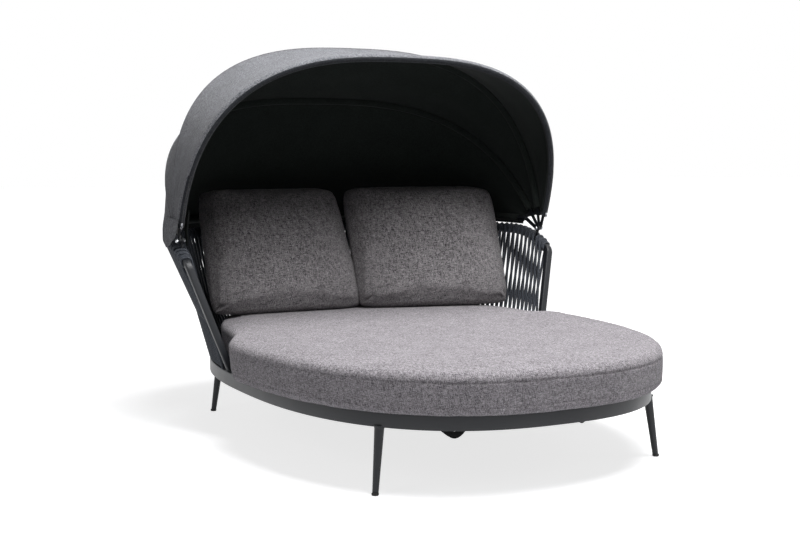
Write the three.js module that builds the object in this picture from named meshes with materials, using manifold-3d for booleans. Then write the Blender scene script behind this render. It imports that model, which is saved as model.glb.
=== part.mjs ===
// Outdoor daybed: an oval base on four splayed legs, a horseshoe backrest wound with rope, a canopy that
// folds back on two pivot bolts, a mattress and two loose pillows.
// Millimetres, +Z up, the open front towards -Y. The origin is on the floor, under the middle of the box.
import * as THREE from 'three';
import { mergeVertices } from 'three/addons/utils/BufferGeometryUtils.js';
import Module from 'manifold-3d';

const wasm = await Module();
wasm.setup();

// Clearances
const seatGap = 0.3; // between pieces that touch
const cutOverrun = 5; // how far a cutting block passes what it cuts

// Base ring, a superellipse in plan
const ringHalfWidth = 750;
const ringFrontDepth = 1038;
const ringRearDepth = 1000;
const ringFullnessShare = 2.53; // exponent of the plan: 2 is an ellipse, more is squarer
const ringThickness = 25;
const ringHeight = 54;
const ringEdge = 2;
const ringSteps = 64;
const ringTop = 280;

// Legs and glides
const legTopX = 562; // where a leg's axis meets the ring, seen from above
const legSplayX = 26;
const legSplayY = 20;
const legTopRadius = 17;
const legFootRadius = 10.5;
const legFlare = 4; // the weld fillet under the ring
const legFlareHeight = 9;
const legSides = 18;
const glideHeight = 9;
const glideRadius = 12.5;
const glideEdge = 2;

// Deck under the mattress
const barWidth = 30;
const barHeight = 18;
const barSpacing = 350;
const barsEachWay = 2;
const deckThickness = 2.6;
const deckDrop = 1.2; // how far the deck sheet lies below the ring's top

// Tie straps that hang slack below the ring
const strapWidth = 24;
const strapThickness = 2;
const strapInset = 46; // from the ring's outer face
const strapEndShare = 1.25; // how far a strap runs on under the deck, in half spans
// Where a strap hangs, as a share of the ring's half width, half its span, and its depth below the ring's top
const strapPlaces = [
  { centreShare: -0.497, halfSpan: 66, depth: 84 },
  { centreShare: 0.133, halfSpan: 42, depth: 66 },
];
// Shares of the half span and of the depth, from one end of the hanging part to the other
const strapSagShares = [[-1, 0], [-0.55, 0.62], [-0.16, 0.97], [0.16, 1], [0.6, 0.6], [1, 0]];

// Posts, top rail and lower rail
const tubeWidth = 30;
const tubeDepth = 28;
const tubeCorner = 8;
const railWidth = 28; // the top rail is a little thinner than the posts, which makes room for the rope
const railDepth = 24;
const postFootX = 724;
const postFootY = 188;
const railHalfWidth = 850;
const railReach = 728; // from the pivots to the rail's centre line at the back
const railFullnessShare = 2.2;
const railHeight = 768;
const railDrop = 63; // how far the rail comes down to the posts
const railDropLength = 240;
const railSteps = 24; // in each half of the rail
const bendLead = 40; // from the rail's front end to the corner of the bend
const bendSteps = 6;
const bendReach = 20; // from the corner to either end of the bend
const railLead = 50; // from the rail's front end to the pivots, seen from the side
const lowerTube = 13.3;
const lowerCorner = 3;
const lowerInset = 14; // the lower rail's centre line, from the ring's outer face
const lowerLead = 42; // from the centre of a post's foot to the lower rail's end
const lowerRise = 25; // the lower rail's centre line, over the ring's top
const backLean = 15.5; // how far the rails and the rope lean out with the backrest, in degrees
const standLength = 6;
const standLoops = [5, 16, 27, 38]; // the loops that have a stand of the lower rail beside them
const gussetLength = 24;
const gussetHeight = 40;
const gussetThickness = 4;

// Rope
const ropeDiameter = 11.6;
const ropeSides = 5;
const loopsPerPanel = 11;
const panelsPerSide = 4;
const bracketLoopShare = 1.58; // the bracket stands in the gap after this many loops
const ropeTopWide = 23.5; // the corners of a turn over the top rail, from the rail's centre line
const ropeTopLow = 11;
const ropeTopNarrow = 14.5;
const ropeTopHigh = 20.6;
const ropeFootWide = 15; // and of a turn under the lower rail
const ropeFootLow = 13.2;

// Canopy pivots
const pivotY = 388;
const pivotZ = 780;
const boltRadius = 5;
const boltHeadRadius = 9;
const boltHeadHeight = 5;
const boltHeadFaceShare = 0.8; // the flat of the head, as a share of its radius
const capNutRadius = 9;
const capNutHeight = 10;
const capNutDomeShares = [0.75, 0.85]; // where the dome turns over, as shares of radius and height
const boltSides = 16;
const bracketThickness = 6;
const bracketInset = 4; // the middle of the bracket plate lies inside the top rail's centre line
const bracketX = railHalfWidth - bracketInset;
const bracketNeck = 11.5;
const bracketEye = 15;
const bracketFoot = 15; // the plate's lower end over the top rail's centre line
const eyeSegments = 8;
const holeGap = 0.3;

// Canopy bows: half width at the pivots, reach from the pivots, and angle from upright, forward positive
const bowRadius = 9.5;
const bowSides = 8;
const bowSteps = 30;
const bowFullnessShare = 2.8;
const tabThickness = 4;
const tabWidth = 17;
const tabGap = 1;
const tabLap = 18; // how far a tab runs on inside its tube
const tabLength = 140;
// The tabs of the bows that fold lie side by side on the pivot bolt, outside the bracket
const rearMiddleHalf = bracketX + (bracketThickness + tabThickness) / 2 + tabGap;
const middleHalf = rearMiddleHalf + tabThickness + tabGap;
const frontHalf = middleHalf + tabThickness + tabGap;
const frontBow = { halfWidth: frontHalf, reach: 776, angle: 20.5, lift: 0, start: tabLength };
const middleBow = { halfWidth: middleHalf, reach: 802, angle: -13.4, lift: 0, start: tabLength };
const rearMiddleBow = { halfWidth: rearMiddleHalf, reach: 780, angle: -42.4, lift: 0, start: tabLength };
const rearBowLift = 41;
const rearBowStart = 70;
const rearBowInset = 16; // it stays inside the bracket
const rearBowHalf = bracketX - rearBowInset;
const rearBow = { halfWidth: rearBowHalf, reach: 770, angle: -90, lift: rearBowLift, start: rearBowStart };
const rearClothStart = 100; // where the cloth begins along the rear bow, clear of its tab

// Canopy fabric
const clothGap = 3.6; // between a bow's tube and the corners of the cloth's inner face
const clothThickness = 3;
const clothSeamGap = 0.4;
const clothSag = 14; // how far a panel hangs in, halfway between its bows
const hemHeight = 58; // the cloth's lower edge, over the pivots
const clothStepsUp = 10; // along each half of a bow
const sleeveTurns = [150, 100, 50]; // the hem sleeve round the front bow, in degrees from its crest
const rearSleeveTurns = [45, 95]; // the same at the rear bow

// Zip sliders
const sliderWidth = 8;
const sliderDepth = 5;
const sliderLength = 12;
const pullWidth = 5;
const pullDepth = 1.6;
const pullLength = 20;
const sliderHeight = 78; // from the pivots, along the front bow
const zipTravel = 200;

// Mattress
const mattressFrontHalfWidth = 822;
const mattressFrontDepth = 1095;
const mattressRearInset = 50; // inside the ring's outer face, to clear the rope
const mattressFullnessShare = 2.4;
const mattressShoulderStart = 95;
const mattressShoulderLength = 70;
const mattressThickness = 155;
const mattressCrown = 12;
const mattressBulge = 5;
const mattressEdge = 28;
const mattressSteps = 48;
const mattressShoulderShares = [0, 0.3, 0.7, 1]; // where the shoulders have their points
const mattressLowerShares = [[0.7, 0], [0.14, 0.3], [0.1, 0.9]]; // inset and height of its rings, in edges
const mattressUpperShares = [[0.1, 0.9], [0.35, 0.35], [1.3, 0]]; // the same, down from the top
const mattressCrownShares = [[0.72, 0.6], [0.4, 0.92], [0.1, 1]]; // shares of the plan and of the crown

// Pillows
const pillowWidth = 684;
const pillowHeight = 604;
const pillowThickness = 200;
const pillowSeam = 5;
const pillowDraw = 18; // how far the sides pull in between the corners
const pillowCorner = 10; // how far a corner is rounded off, each way
const pillowFullShare = 0.42;
const pillowCornerPower = 6;
const pillowStepsAcross = 14;
const pillowStepsUp = 12;
const leftPillow = { x: -303, y: 735, turn: -1.5, lean: 32 };
const rightPillow = { x: 388, y: 612, turn: -15, lean: 31.5 };

// Colours, roughness and metalness
const coat = { color: 0x2f3338, roughness: 0.5, metalness: 0.55 };
const ropeLook = { color: 0x22262b, roughness: 0.85, metalness: 0 };
const blackPlastic = { color: 0x111213, roughness: 0.6, metalness: 0 };
const steel = { color: 0xb9bcc0, roughness: 0.3, metalness: 0.95 };
const canopyLook = { color: 0x6b6c70, roughness: 0.95, metalness: 0 };
const padLook = { color: 0x8c888d, roughness: 0.95, metalness: 0 };
const pillowLook = { color: 0x5f5c60, roughness: 0.95, metalness: 0 };
const webbing = { color: 0x141414, roughness: 0.9, metalness: 0 };
const deckLook = { color: 0x1d1e20, roughness: 0.95, metalness: 0 };

const across = new THREE.Vector3(1, 0, 0);
const up = new THREE.Vector3(0, 0, 1);
const lean = THREE.MathUtils.degToRad(backLean);
const ringBottom = ringTop - ringHeight;
const ropeRadius = ropeDiameter / 2;
const radians = THREE.MathUtils.degToRad;

// A power that keeps the sign, for superellipses.
const signedPower = (value, power) => Math.sign(value) * Math.abs(value) ** power;
const mirrored = (p) => new THREE.Vector3(-p.x, p.y, p.z);

// Solids: to and from the boolean library

function toSolid(geometry) {
  const bare = geometry.clone();
  bare.deleteAttribute('normal');
  bare.deleteAttribute('uv');
  const merged = mergeVertices(bare, 1e-3);
  return new wasm.Manifold(new wasm.Mesh({
    numProp: 3,
    vertProperties: new Float32Array(merged.getAttribute('position').array),
    triVerts: new Uint32Array(merged.index.array),
  }));
}

function toGeometry(solid) {
  const mesh = solid.getMesh();
  const geometry = new THREE.BufferGeometry();
  geometry.setAttribute('position', new THREE.BufferAttribute(new Float32Array(mesh.vertProperties), 3));
  geometry.setIndex([...mesh.triVerts]);
  geometry.computeVertexNormals();
  return geometry;
}

// A block between two corners.
function block(low, high) {
  const size = new THREE.Vector3().subVectors(high, low);
  const centre = new THREE.Vector3().addVectors(low, high).multiplyScalar(0.5);
  return new THREE.BoxGeometry(size.x, size.y, size.z).translate(centre.x, centre.y, centre.z);
}

// Surfaces: rows of points joined into a closed solid

// Rows of equal length are joined one to the next; round rows close on themselves, and the end rows are
// closed by a fan about their first point.
function loft(rows) {
  const count = rows[0].length;
  const positions = rows.flat().flatMap((p) => [p.x, p.y, p.z]);
  const index = [];
  for (let row = 0; row < rows.length - 1; row += 1) {
    for (let i = 0; i < count; i += 1) {
      const next = (i + 1) % count;
      const a = row * count + i;
      const b = row * count + next;
      index.push(a, b, b + count, a, b + count, a + count);
    }
  }
  const last = (rows.length - 1) * count;
  for (let i = 1; i < count - 1; i += 1) {
    index.push(0, i + 1, i);
    index.push(last, last + i, last + i + 1);
  }
  const geometry = new THREE.BufferGeometry();
  geometry.setAttribute('position', new THREE.Float32BufferAttribute(positions, 3));
  geometry.setIndex(index);
  geometry.computeVertexNormals();
  return geometry;
}

// A sheet with thickness: two grids of points, the outer face and the inner face, closed at their edges.
function sheet(outer, inner) {
  const rows = outer.length;
  const columns = outer[0].length;
  const positions = [...outer.flat(), ...inner.flat()].flatMap((p) => [p.x, p.y, p.z]);
  const at = (row, column, face) => face * rows * columns + row * columns + column;
  const index = [];
  const quad = (a, b, c, d) => index.push(a, b, c, a, c, d);
  for (let r = 0; r < rows - 1; r += 1) {
    for (let c = 0; c < columns - 1; c += 1) {
      quad(at(r, c, 0), at(r, c + 1, 0), at(r + 1, c + 1, 0), at(r + 1, c, 0));
      quad(at(r, c, 1), at(r + 1, c, 1), at(r + 1, c + 1, 1), at(r, c + 1, 1));
    }
  }
  for (let r = 0; r < rows - 1; r += 1) {
    quad(at(r, 0, 0), at(r + 1, 0, 0), at(r + 1, 0, 1), at(r, 0, 1));
    quad(at(r + 1, columns - 1, 0), at(r, columns - 1, 0), at(r, columns - 1, 1), at(r + 1, columns - 1, 1));
  }
  for (let c = 0; c < columns - 1; c += 1) {
    quad(at(0, c + 1, 0), at(0, c, 0), at(0, c, 1), at(0, c + 1, 1));
    quad(at(rows - 1, c, 0), at(rows - 1, c + 1, 0), at(rows - 1, c + 1, 1), at(rows - 1, c, 1));
  }
  const geometry = new THREE.BufferGeometry();
  geometry.setAttribute('position', new THREE.Float32BufferAttribute(positions, 3));
  geometry.setIndex(index);
  geometry.computeVertexNormals();
  return geometry;
}

// Sections of tubes, as [sideways, upwards] pairs

function roundedSection(width, height, corner, grow = 0) {
  const w = width / 2 + grow;
  const h = height / 2 + grow;
  const c = corner;
  return [
    [w, -(h - c)], [w, h - c], [w - c, h], [-(w - c), h],
    [-w, h - c], [-w, -(h - c)], [-(w - c), -h], [w - c, -h],
  ];
}

// The section of a rail, rolled so that it leans out with the backrest.
function leaningSection(width, height, corner) {
  return roundedSection(width, height, corner).map(([u, v]) => [
    u * Math.cos(lean) - v * Math.sin(lean),
    u * Math.sin(lean) + v * Math.cos(lean),
  ]);
}

// A tube swept along a smooth path, its section's first axis kept level.
function levelTube(path, section, sideways = null) {
  const rows = path.map((point, i) => {
    const before = path[Math.max(i - 1, 0)];
    const after = path[Math.min(i + 1, path.length - 1)];
    const along = new THREE.Vector3().subVectors(after, before).normalize();
    const side = sideways ? sideways.clone() : new THREE.Vector3().crossVectors(up, along);
    side.addScaledVector(along, -side.dot(along)).normalize();
    const over = new THREE.Vector3().crossVectors(along, side);
    return section.map(([u, v]) => point.clone().addScaledVector(side, u).addScaledVector(over, v));
  });
  return loft(rows);
}

// A round tube with mitred corners, for the rope: each ring lies in the plane that halves the corner.
function mitredTube(points, radius, sides) {
  const count = points.length;
  const ways = points.slice(1).map((p, i) => new THREE.Vector3().subVectors(p, points[i]).normalize());
  const side = new THREE.Vector3().crossVectors(ways[0], across).normalize();
  const turn = new THREE.Quaternion();
  const rows = [];
  for (let i = 0; i < count; i += 1) {
    const way = ways[Math.max(i - 1, 0)];
    const next = ways[Math.min(i, count - 2)];
    const plane = new THREE.Vector3().addVectors(way, next).normalize();
    const other = new THREE.Vector3().crossVectors(way, side);
    rows.push(Array.from({ length: sides }, (_, k) => {
      const angle = (k / sides) * Math.PI * 2;
      const offset = side.clone().multiplyScalar(Math.cos(angle) * radius);
      offset.addScaledVector(other, Math.sin(angle) * radius);
      offset.addScaledVector(way, -offset.dot(plane) / way.dot(plane));
      return points[i].clone().add(offset);
    }));
    side.applyQuaternion(turn.setFromUnitVectors(way, next));
  }
  return loft(rows);
}

// Paths

class PointPath {
  // Half of a path of points, up to the middle plane, with its running length, so that a place on it can
  // be asked for by length.
  constructor(points) {
    this.points = points;
    this.lengths = [0];
    for (let i = 1; i < points.length; i += 1) {
      this.lengths.push(this.lengths[i - 1] + points[i].distanceTo(points[i - 1]));
    }
    this.total = this.lengths[points.length - 1];
    this.outwards = points.map((_, i) => {
      const before = points[Math.max(i - 1, 0)];
      const after = points[i + 1] ?? mirrored(points[i - 1]);
      return new THREE.Vector3(after.y - before.y, before.x - after.x, 0).normalize();
    });
  }

  // The point at a length, and the level direction that points outwards there.
  at(length) {
    let i = 1;
    while (i < this.points.length - 1 && this.lengths[i] < length) i += 1;
    const share = (length - this.lengths[i - 1]) / (this.lengths[i] - this.lengths[i - 1]);
    return {
      point: this.points[i - 1].clone().lerp(this.points[i], share),
      outward: this.outwards[i - 1].clone().lerp(this.outwards[i], share).normalize(),
    };
  }
}

// The plan of the ring at an angle, 0 to the right and 90 degrees to the rear, inside its outer face.
function ringPoint(angle, inset, z) {
  const depth = Math.sin(angle) < 0 ? ringFrontDepth : ringRearDepth;
  return new THREE.Vector3(
    (ringHalfWidth - inset) * signedPower(Math.cos(angle), 2 / ringFullnessShare),
    (depth - inset) * signedPower(Math.sin(angle), 2 / ringFullnessShare),
    z,
  );
}

// The outline of the ring's plan as a shape, inset from its outer face.
function ringOutline(inset, Kind = THREE.Shape) {
  const points = Array.from({ length: ringSteps }, (_, i) => {
    const p = ringPoint((i / ringSteps) * Math.PI * 2, inset, 0);
    return new THREE.Vector2(p.x, p.y);
  });
  return new Kind(points);
}

// The height of the top rail's centre line, which comes down to the posts at its front end.
function railZ(y) {
  const share = THREE.MathUtils.clamp((y - (pivotY - railLead)) / railDropLength, 0, 1);
  return railHeight - railDrop * (1 - share) ** 2;
}

// The right half of the top rail's centre line, from its front end to the middle of the back.
function rightRailPoints() {
  const frontY = pivotY - railLead;
  const lead = [0, 1 / 3, 2 / 3].map((share) => {
    const y = frontY + railLead * share;
    return new THREE.Vector3(railHalfWidth, y, railZ(y));
  });
  const round = Array.from({ length: railSteps + 1 }, (_, i) => {
    const angle = (i / railSteps) * (Math.PI / 2);
    const x = railHalfWidth * signedPower(Math.cos(angle), 2 / railFullnessShare);
    const y = pivotY + railReach * signedPower(Math.sin(angle), 2 / railFullnessShare);
    return new THREE.Vector3(i === railSteps ? 0 : x, y, railZ(y));
  });
  return [...lead, ...round];
}

// The right half of the lower rail's centre line, from beside the post's foot to the middle of the back.
function rightLowerPoints() {
  const startY = postFootY + lowerLead;
  const depth = ringRearDepth - lowerInset;
  const startAngle = Math.asin((startY / depth) ** (ringFullnessShare / 2));
  return Array.from({ length: railSteps + 1 }, (_, i) => {
    const angle = startAngle + (i / railSteps) * (Math.PI / 2 - startAngle);
    const p = ringPoint(angle, lowerInset, ringTop + lowerRise);
    return i === railSteps ? new THREE.Vector3(0, p.y, p.z) : p;
  });
}

const bothSides = (points) => [...points, ...points.slice(0, -1).reverse().map(mirrored)];

const railPath = new PointPath(rightRailPoints());
const lowerPath = new PointPath(rightLowerPoints());

// How the winding is spread: the bracket stands in a gap between two loops, and the last loop ends at the
// middle of the back.
const loopCount = loopsPerPanel * panelsPerSide;
const bracketLength = railPath.lengths[3];
const railPitch = (railPath.total - bracketLength) / (loopCount - bracketLoopShare);
const railStart = bracketLength - bracketLoopShare * railPitch;
const lowerPitch = (lowerPath.total - ropeRadius) / loopCount;
const footLength = (loop) => ropeRadius + loop * lowerPitch;

// Base

function baseRing() {
  const outline = ringOutline(0);
  outline.holes.push(ringOutline(ringThickness, THREE.Path));
  return new THREE.ExtrudeGeometry(outline, {
    depth: ringHeight - 2 * ringEdge,
    bevelThickness: ringEdge,
    bevelSize: ringEdge,
    bevelOffset: -ringEdge,
    bevelSegments: 1,
    steps: 1,
  }).translate(0, 0, ringBottom + ringEdge);
}

// The space inside the ring, as a solid between two heights.
function insideRing(bottom, top) {
  return new THREE.ExtrudeGeometry(ringOutline(ringThickness + seatGap), {
    depth: top - bottom,
    bevelEnabled: false,
  }).translate(0, 0, bottom);
}

// A leg's axis meets the ring at the middle of the band.
function legPlace(side, end) {
  const inset = ringThickness / 2;
  const depth = (end < 0 ? ringFrontDepth : ringRearDepth) - inset;
  const across01 = (legTopX / (ringHalfWidth - inset)) ** ringFullnessShare;
  const topY = end * depth * (1 - across01) ** (1 / ringFullnessShare);
  const top = new THREE.Vector3(side * legTopX, topY, ringBottom);
  const foot = new THREE.Vector3(side * (legTopX + legSplayX), topY + end * legSplayY, 0);
  return { top, foot };
}

function leg(side, end) {
  const { top, foot } = legPlace(side, end);
  const length = top.distanceTo(foot);
  const reach = length + cutOverrun;
  const profile = [
    new THREE.Vector2(0, 0),
    new THREE.Vector2(legFootRadius, 0),
    new THREE.Vector2(legTopRadius, length - legFlareHeight),
    new THREE.Vector2(legTopRadius + legFlare / 4, length - legFlareHeight / 2),
    new THREE.Vector2(legTopRadius + legFlare, length),
    new THREE.Vector2(legTopRadius + legFlare, reach),
    new THREE.Vector2(0, reach),
  ];
  const splay = new THREE.Quaternion().setFromUnitVectors(
    new THREE.Vector3(0, 1, 0),
    new THREE.Vector3().subVectors(top, foot).normalize(),
  );
  const body = new THREE.LatheGeometry(profile, legSides).applyQuaternion(splay);
  body.translate(foot.x, foot.y, foot.z);
  const room = ringHalfWidth + ringFrontDepth;
  const above = block(
    new THREE.Vector3(-room, -room, ringBottom - seatGap),
    new THREE.Vector3(room, room, ringTop),
  );
  const below = block(
    new THREE.Vector3(-room, -room, -ringHeight),
    new THREE.Vector3(room, room, glideHeight + seatGap),
  );
  return toGeometry(toSolid(body).subtract(toSolid(above)).subtract(toSolid(below)));
}

function glide(side, end) {
  const { foot } = legPlace(side, end);
  const profile = [
    new THREE.Vector2(0, 0),
    new THREE.Vector2(glideRadius - glideEdge, 0),
    new THREE.Vector2(glideRadius, glideEdge),
    new THREE.Vector2(glideRadius, glideHeight - glideEdge),
    new THREE.Vector2(glideRadius - glideEdge / 2, glideHeight),
    new THREE.Vector2(0, glideHeight),
  ];
  return new THREE.LatheGeometry(profile, legSides).rotateX(Math.PI / 2).translate(foot.x, foot.y, 0);
}

// A bar across the ring, its ends shaped to the ring's inner face.
function deckBar(y) {
  const top = ringTop - deckDrop - deckThickness - seatGap;
  const bar = block(
    new THREE.Vector3(-ringHalfWidth, y - barWidth / 2, top - barHeight),
    new THREE.Vector3(ringHalfWidth, y + barWidth / 2, top),
  );
  return toGeometry(toSolid(bar).intersect(toSolid(insideRing(ringBottom, ringTop))));
}

function deckSheet() {
  return insideRing(ringTop - deckDrop - deckThickness, ringTop - deckDrop);
}

// A slack webbing loop that hangs in a V from under the deck.
function tieStrap({ centreShare, halfSpan, depth }) {
  const top = ringTop - deckDrop - deckThickness - seatGap - strapThickness / 2;
  const drop = top - (ringTop - depth);
  const frontY = (x) => -(ringFrontDepth - strapInset)
    * (1 - Math.abs(x / (ringHalfWidth - strapInset)) ** ringFullnessShare) ** (1 / ringFullnessShare);
  const shares = [[-strapEndShare, 0], ...strapSagShares, [strapEndShare, 0]];
  const path = shares.map(([spanShare, dropShare]) => {
    const x = centreShare * ringHalfWidth + spanShare * halfSpan;
    return new THREE.Vector3(x, frontY(x), top - dropShare * drop);
  });
  const half = strapThickness / 2;
  const wide = strapWidth / 2;
  const section = [[wide, -half], [wide, half], [-wide, half], [-wide, -half]];
  return levelTube(path, section);
}

// Frame of the backrest

const postFoot = new THREE.Vector3(postFootX, postFootY, ringTop);
const railEnd = railPath.points[0].clone();
const railWay = new THREE.Vector3().subVectors(railPath.points[1], railPath.points[0]).normalize();
const bendCorner = railEnd.clone().addScaledVector(railWay, -bendLead);

function postPath() {
  const way = new THREE.Vector3().subVectors(bendCorner, postFoot).normalize();
  const under = postFoot.clone().addScaledVector(way, -cutOverrun * 2);
  const bendStart = bendCorner.clone().addScaledVector(way, -bendReach);
  const end = railEnd.clone().addScaledVector(railWay, -seatGap);
  const bendEnd = bendCorner.clone().addScaledVector(railWay, bendReach);
  const bend = new THREE.QuadraticBezierCurve3(bendStart, bendCorner, bendEnd);
  return [under, ...bend.getPoints(bendSteps), end];
}

function postSolid(grow) {
  const section = roundedSection(tubeWidth, tubeDepth, tubeCorner, grow);
  const sideways = new THREE.Vector3(Math.cos(lean), 0, -Math.sin(lean));
  return toSolid(levelTube(postPath(), section, sideways));
}

// What lies below the ring's top, to cut the foot of a piece that stands on the ring.
function belowRingTop() {
  const room = ringHalfWidth + ringFrontDepth;
  return toSolid(block(
    new THREE.Vector3(-room, -room, ringBottom),
    new THREE.Vector3(room, room, ringTop + seatGap),
  ));
}

const rightPost = postSolid(0).subtract(belowRingTop());

// A triangular plate behind the post's foot, leaning with the post.
function rightGusset() {
  const way = new THREE.Vector3().subVectors(bendCorner, postFoot);
  const back = tubeDepth / 2;
  const outline = new THREE.Shape([
    new THREE.Vector2(0, 0),
    new THREE.Vector2(back + gussetLength, 0),
    new THREE.Vector2(back + (gussetHeight * way.y) / way.z, gussetHeight),
    new THREE.Vector2((gussetHeight * way.y) / way.z, gussetHeight),
  ]);
  const plate = new THREE.ExtrudeGeometry(outline, { depth: gussetThickness, bevelEnabled: false });
  plate.translate(0, 0, -gussetThickness / 2);
  plate.applyMatrix4(new THREE.Matrix4().makeBasis(new THREE.Vector3(0, 1, 0), up, across));
  plate.applyMatrix4(new THREE.Matrix4().set(
    1, 0, way.x / way.z, postFoot.x,
    0, 1, 0, postFoot.y,
    0, 0, 1, ringTop + seatGap,
    0, 0, 0, 1,
  ));
  return toSolid(plate).subtract(postSolid(seatGap));
}

function topRail() {
  const section = leaningSection(railWidth, railDepth, tubeCorner);
  return levelTube(bothSides(railPath.points), section);
}

// The lower rail and the small stands that carry it on the ring, between the rope's turns.
function lowerRail() {
  const section = leaningSection(lowerTube, lowerTube, lowerCorner);
  let solid = toSolid(levelTube(bothSides(lowerPath.points), section));
  for (const loop of standLoops) {
    const { point, outward } = lowerPath.at(footLength(loop + 1 / 4));
    for (const side of [1, -1]) {
      const height = point.z - (ringTop + seatGap);
      const stand = new THREE.BoxGeometry(lowerTube - 2 * lowerCorner, standLength, height);
      stand.rotateZ(side * Math.atan2(outward.y, outward.x));
      stand.translate(side * point.x, point.y, point.z - height / 2);
      solid = solid.add(toSolid(stand));
    }
  }
  return toGeometry(solid);
}

// The plate that carries the bows: an eye on a neck that reaches down to the rail between two turns of rope.
function rightBracket() {
  const half = bracketNeck / 2;
  const footAt = (y) => railZ(pivotY + y) + bracketFoot - pivotZ;
  const shoulder = Math.acos(half / bracketEye);
  const outline = new THREE.Shape();
  outline.moveTo(-half, footAt(-half));
  outline.lineTo(half, footAt(half));
  outline.absarc(0, 0, bracketEye, -shoulder, Math.PI + shoulder);
  const hole = new THREE.Path();
  hole.absarc(0, 0, boltRadius + holeGap, 0, Math.PI * 2);
  outline.holes.push(hole);
  const plate = new THREE.ExtrudeGeometry(outline, {
    depth: bracketThickness,
    bevelEnabled: false,
    curveSegments: eyeSegments,
  });
  plate.translate(0, 0, -bracketThickness / 2);
  plate.applyMatrix4(new THREE.Matrix4().makeBasis(new THREE.Vector3(0, 1, 0), up, across));
  plate.translate(bracketX, pivotY, pivotZ);
  return toSolid(plate);
}

// The pivot bolt, from its head inside to the domed cap nut outside.
function rightBolt() {
  const rearTabInner = bracketX - bracketThickness / 2 - seatGap - tabThickness;
  const shankStart = rearTabInner - seatGap;
  const shankEnd = frontBow.halfWidth + tabThickness / 2 + seatGap;
  const [domeRadius, domeHeight] = capNutDomeShares;
  const profile = [
    new THREE.Vector2(0, shankStart - boltHeadHeight),
    new THREE.Vector2(boltHeadRadius * boltHeadFaceShare, shankStart - boltHeadHeight),
    new THREE.Vector2(boltHeadRadius, shankStart - boltHeadHeight / 2),
    new THREE.Vector2(boltHeadRadius, shankStart),
    new THREE.Vector2(boltRadius, shankStart),
    new THREE.Vector2(boltRadius, shankEnd),
    new THREE.Vector2(capNutRadius, shankEnd),
    new THREE.Vector2(capNutRadius, shankEnd + capNutHeight / 2),
    new THREE.Vector2(capNutRadius * domeRadius, shankEnd + capNutHeight * domeHeight),
    new THREE.Vector2(0, shankEnd + capNutHeight),
  ];
  return new THREE.LatheGeometry(profile, boltSides).rotateZ(-Math.PI / 2).translate(0, pivotY, pivotZ);
}

// Rope: a figure of eight round both rails. One strand of each loop rises from the outside of the lower
// rail to the inside of the top rail, goes over it, and the other falls from its outside to the lower
// rail's inside, so that the two layers cross halfway up.
function ropePoints(panel) {
  const points = [];
  const place = (path, length, outward, outwards, upwards) => {
    const { point } = path.at(length);
    const over = up.clone().multiplyScalar(Math.cos(lean)).addScaledVector(outward, Math.sin(lean));
    const out = outward.clone().multiplyScalar(Math.cos(lean)).addScaledVector(up, -Math.sin(lean));
    points.push(point.addScaledVector(out, outwards).addScaledVector(over, upwards));
  };
  for (let i = 0; i < loopsPerPanel; i += 1) {
    const loop = panel * loopsPerPanel + i;
    const rise = railStart + loop * railPitch;
    const fall = rise + railPitch / 2;
    const footRise = footLength(loop);
    const footFall = footLength(loop + 1 / 2);
    const riseOut = railPath.at(rise).outward;
    const fallOut = railPath.at(fall).outward;
    place(lowerPath, footRise, riseOut, ropeFootWide, -ropeFootLow);
    place(railPath, rise, riseOut, -ropeTopWide, ropeTopLow);
    place(railPath, rise, riseOut, -ropeTopNarrow, ropeTopHigh);
    place(railPath, fall, fallOut, ropeTopNarrow, ropeTopHigh);
    place(railPath, fall, fallOut, ropeTopWide, ropeTopLow);
    place(lowerPath, footFall, fallOut, -ropeFootWide, -ropeFootLow);
  }
  return points;
}

// The least gap of a rope to itself, measured between points along it that lie well apart on its length.
function leastGap(points) {
  const step = ropeRadius;
  const apart = ropeDiameter * 4;
  const samples = [];
  let run = 0;
  for (let i = 1; i < points.length; i += 1) {
    const length = points[i].distanceTo(points[i - 1]);
    const count = Math.ceil(length / step);
    for (let k = 0; k < count; k += 1) {
      const p = points[i - 1].clone().lerp(points[i], k / count);
      samples.push({ p, run: run + (length * k) / count });
    }
    run += length;
  }
  let least = Infinity;
  for (let i = 0; i < samples.length; i += 1) {
    for (let k = i + 1; k < samples.length; k += 1) {
      if (samples[k].run - samples[i].run > apart) {
        least = Math.min(least, samples[i].p.distanceTo(samples[k].p));
      }
    }
  }
  return { gap: least - ropeDiameter, length: run };
}

// Canopy bows

class BowCurve extends THREE.Curve {
  // The arch of a bow in its own plane: x across, z away from the pivots.
  constructor(bow) {
    super();
    this.bow = bow;
    this.startAngle = Math.asin((bow.start / bow.reach) ** (bowFullnessShare / 2));
  }

  getPoint(t, target = new THREE.Vector3()) {
    const angle = this.startAngle + t * (Math.PI - 2 * this.startAngle);
    return target.set(
      this.bow.halfWidth * signedPower(Math.cos(angle), 2 / bowFullnessShare),
      -this.bow.lift,
      this.bow.reach * Math.sin(angle) ** (2 / bowFullnessShare),
    );
  }
}

function circleShape(radius, sides) {
  return new THREE.Shape(Array.from({ length: sides }, (_, i) => {
    const angle = (i / sides) * Math.PI * 2;
    return new THREE.Vector2(Math.cos(angle) * radius, Math.sin(angle) * radius);
  }));
}

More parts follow.
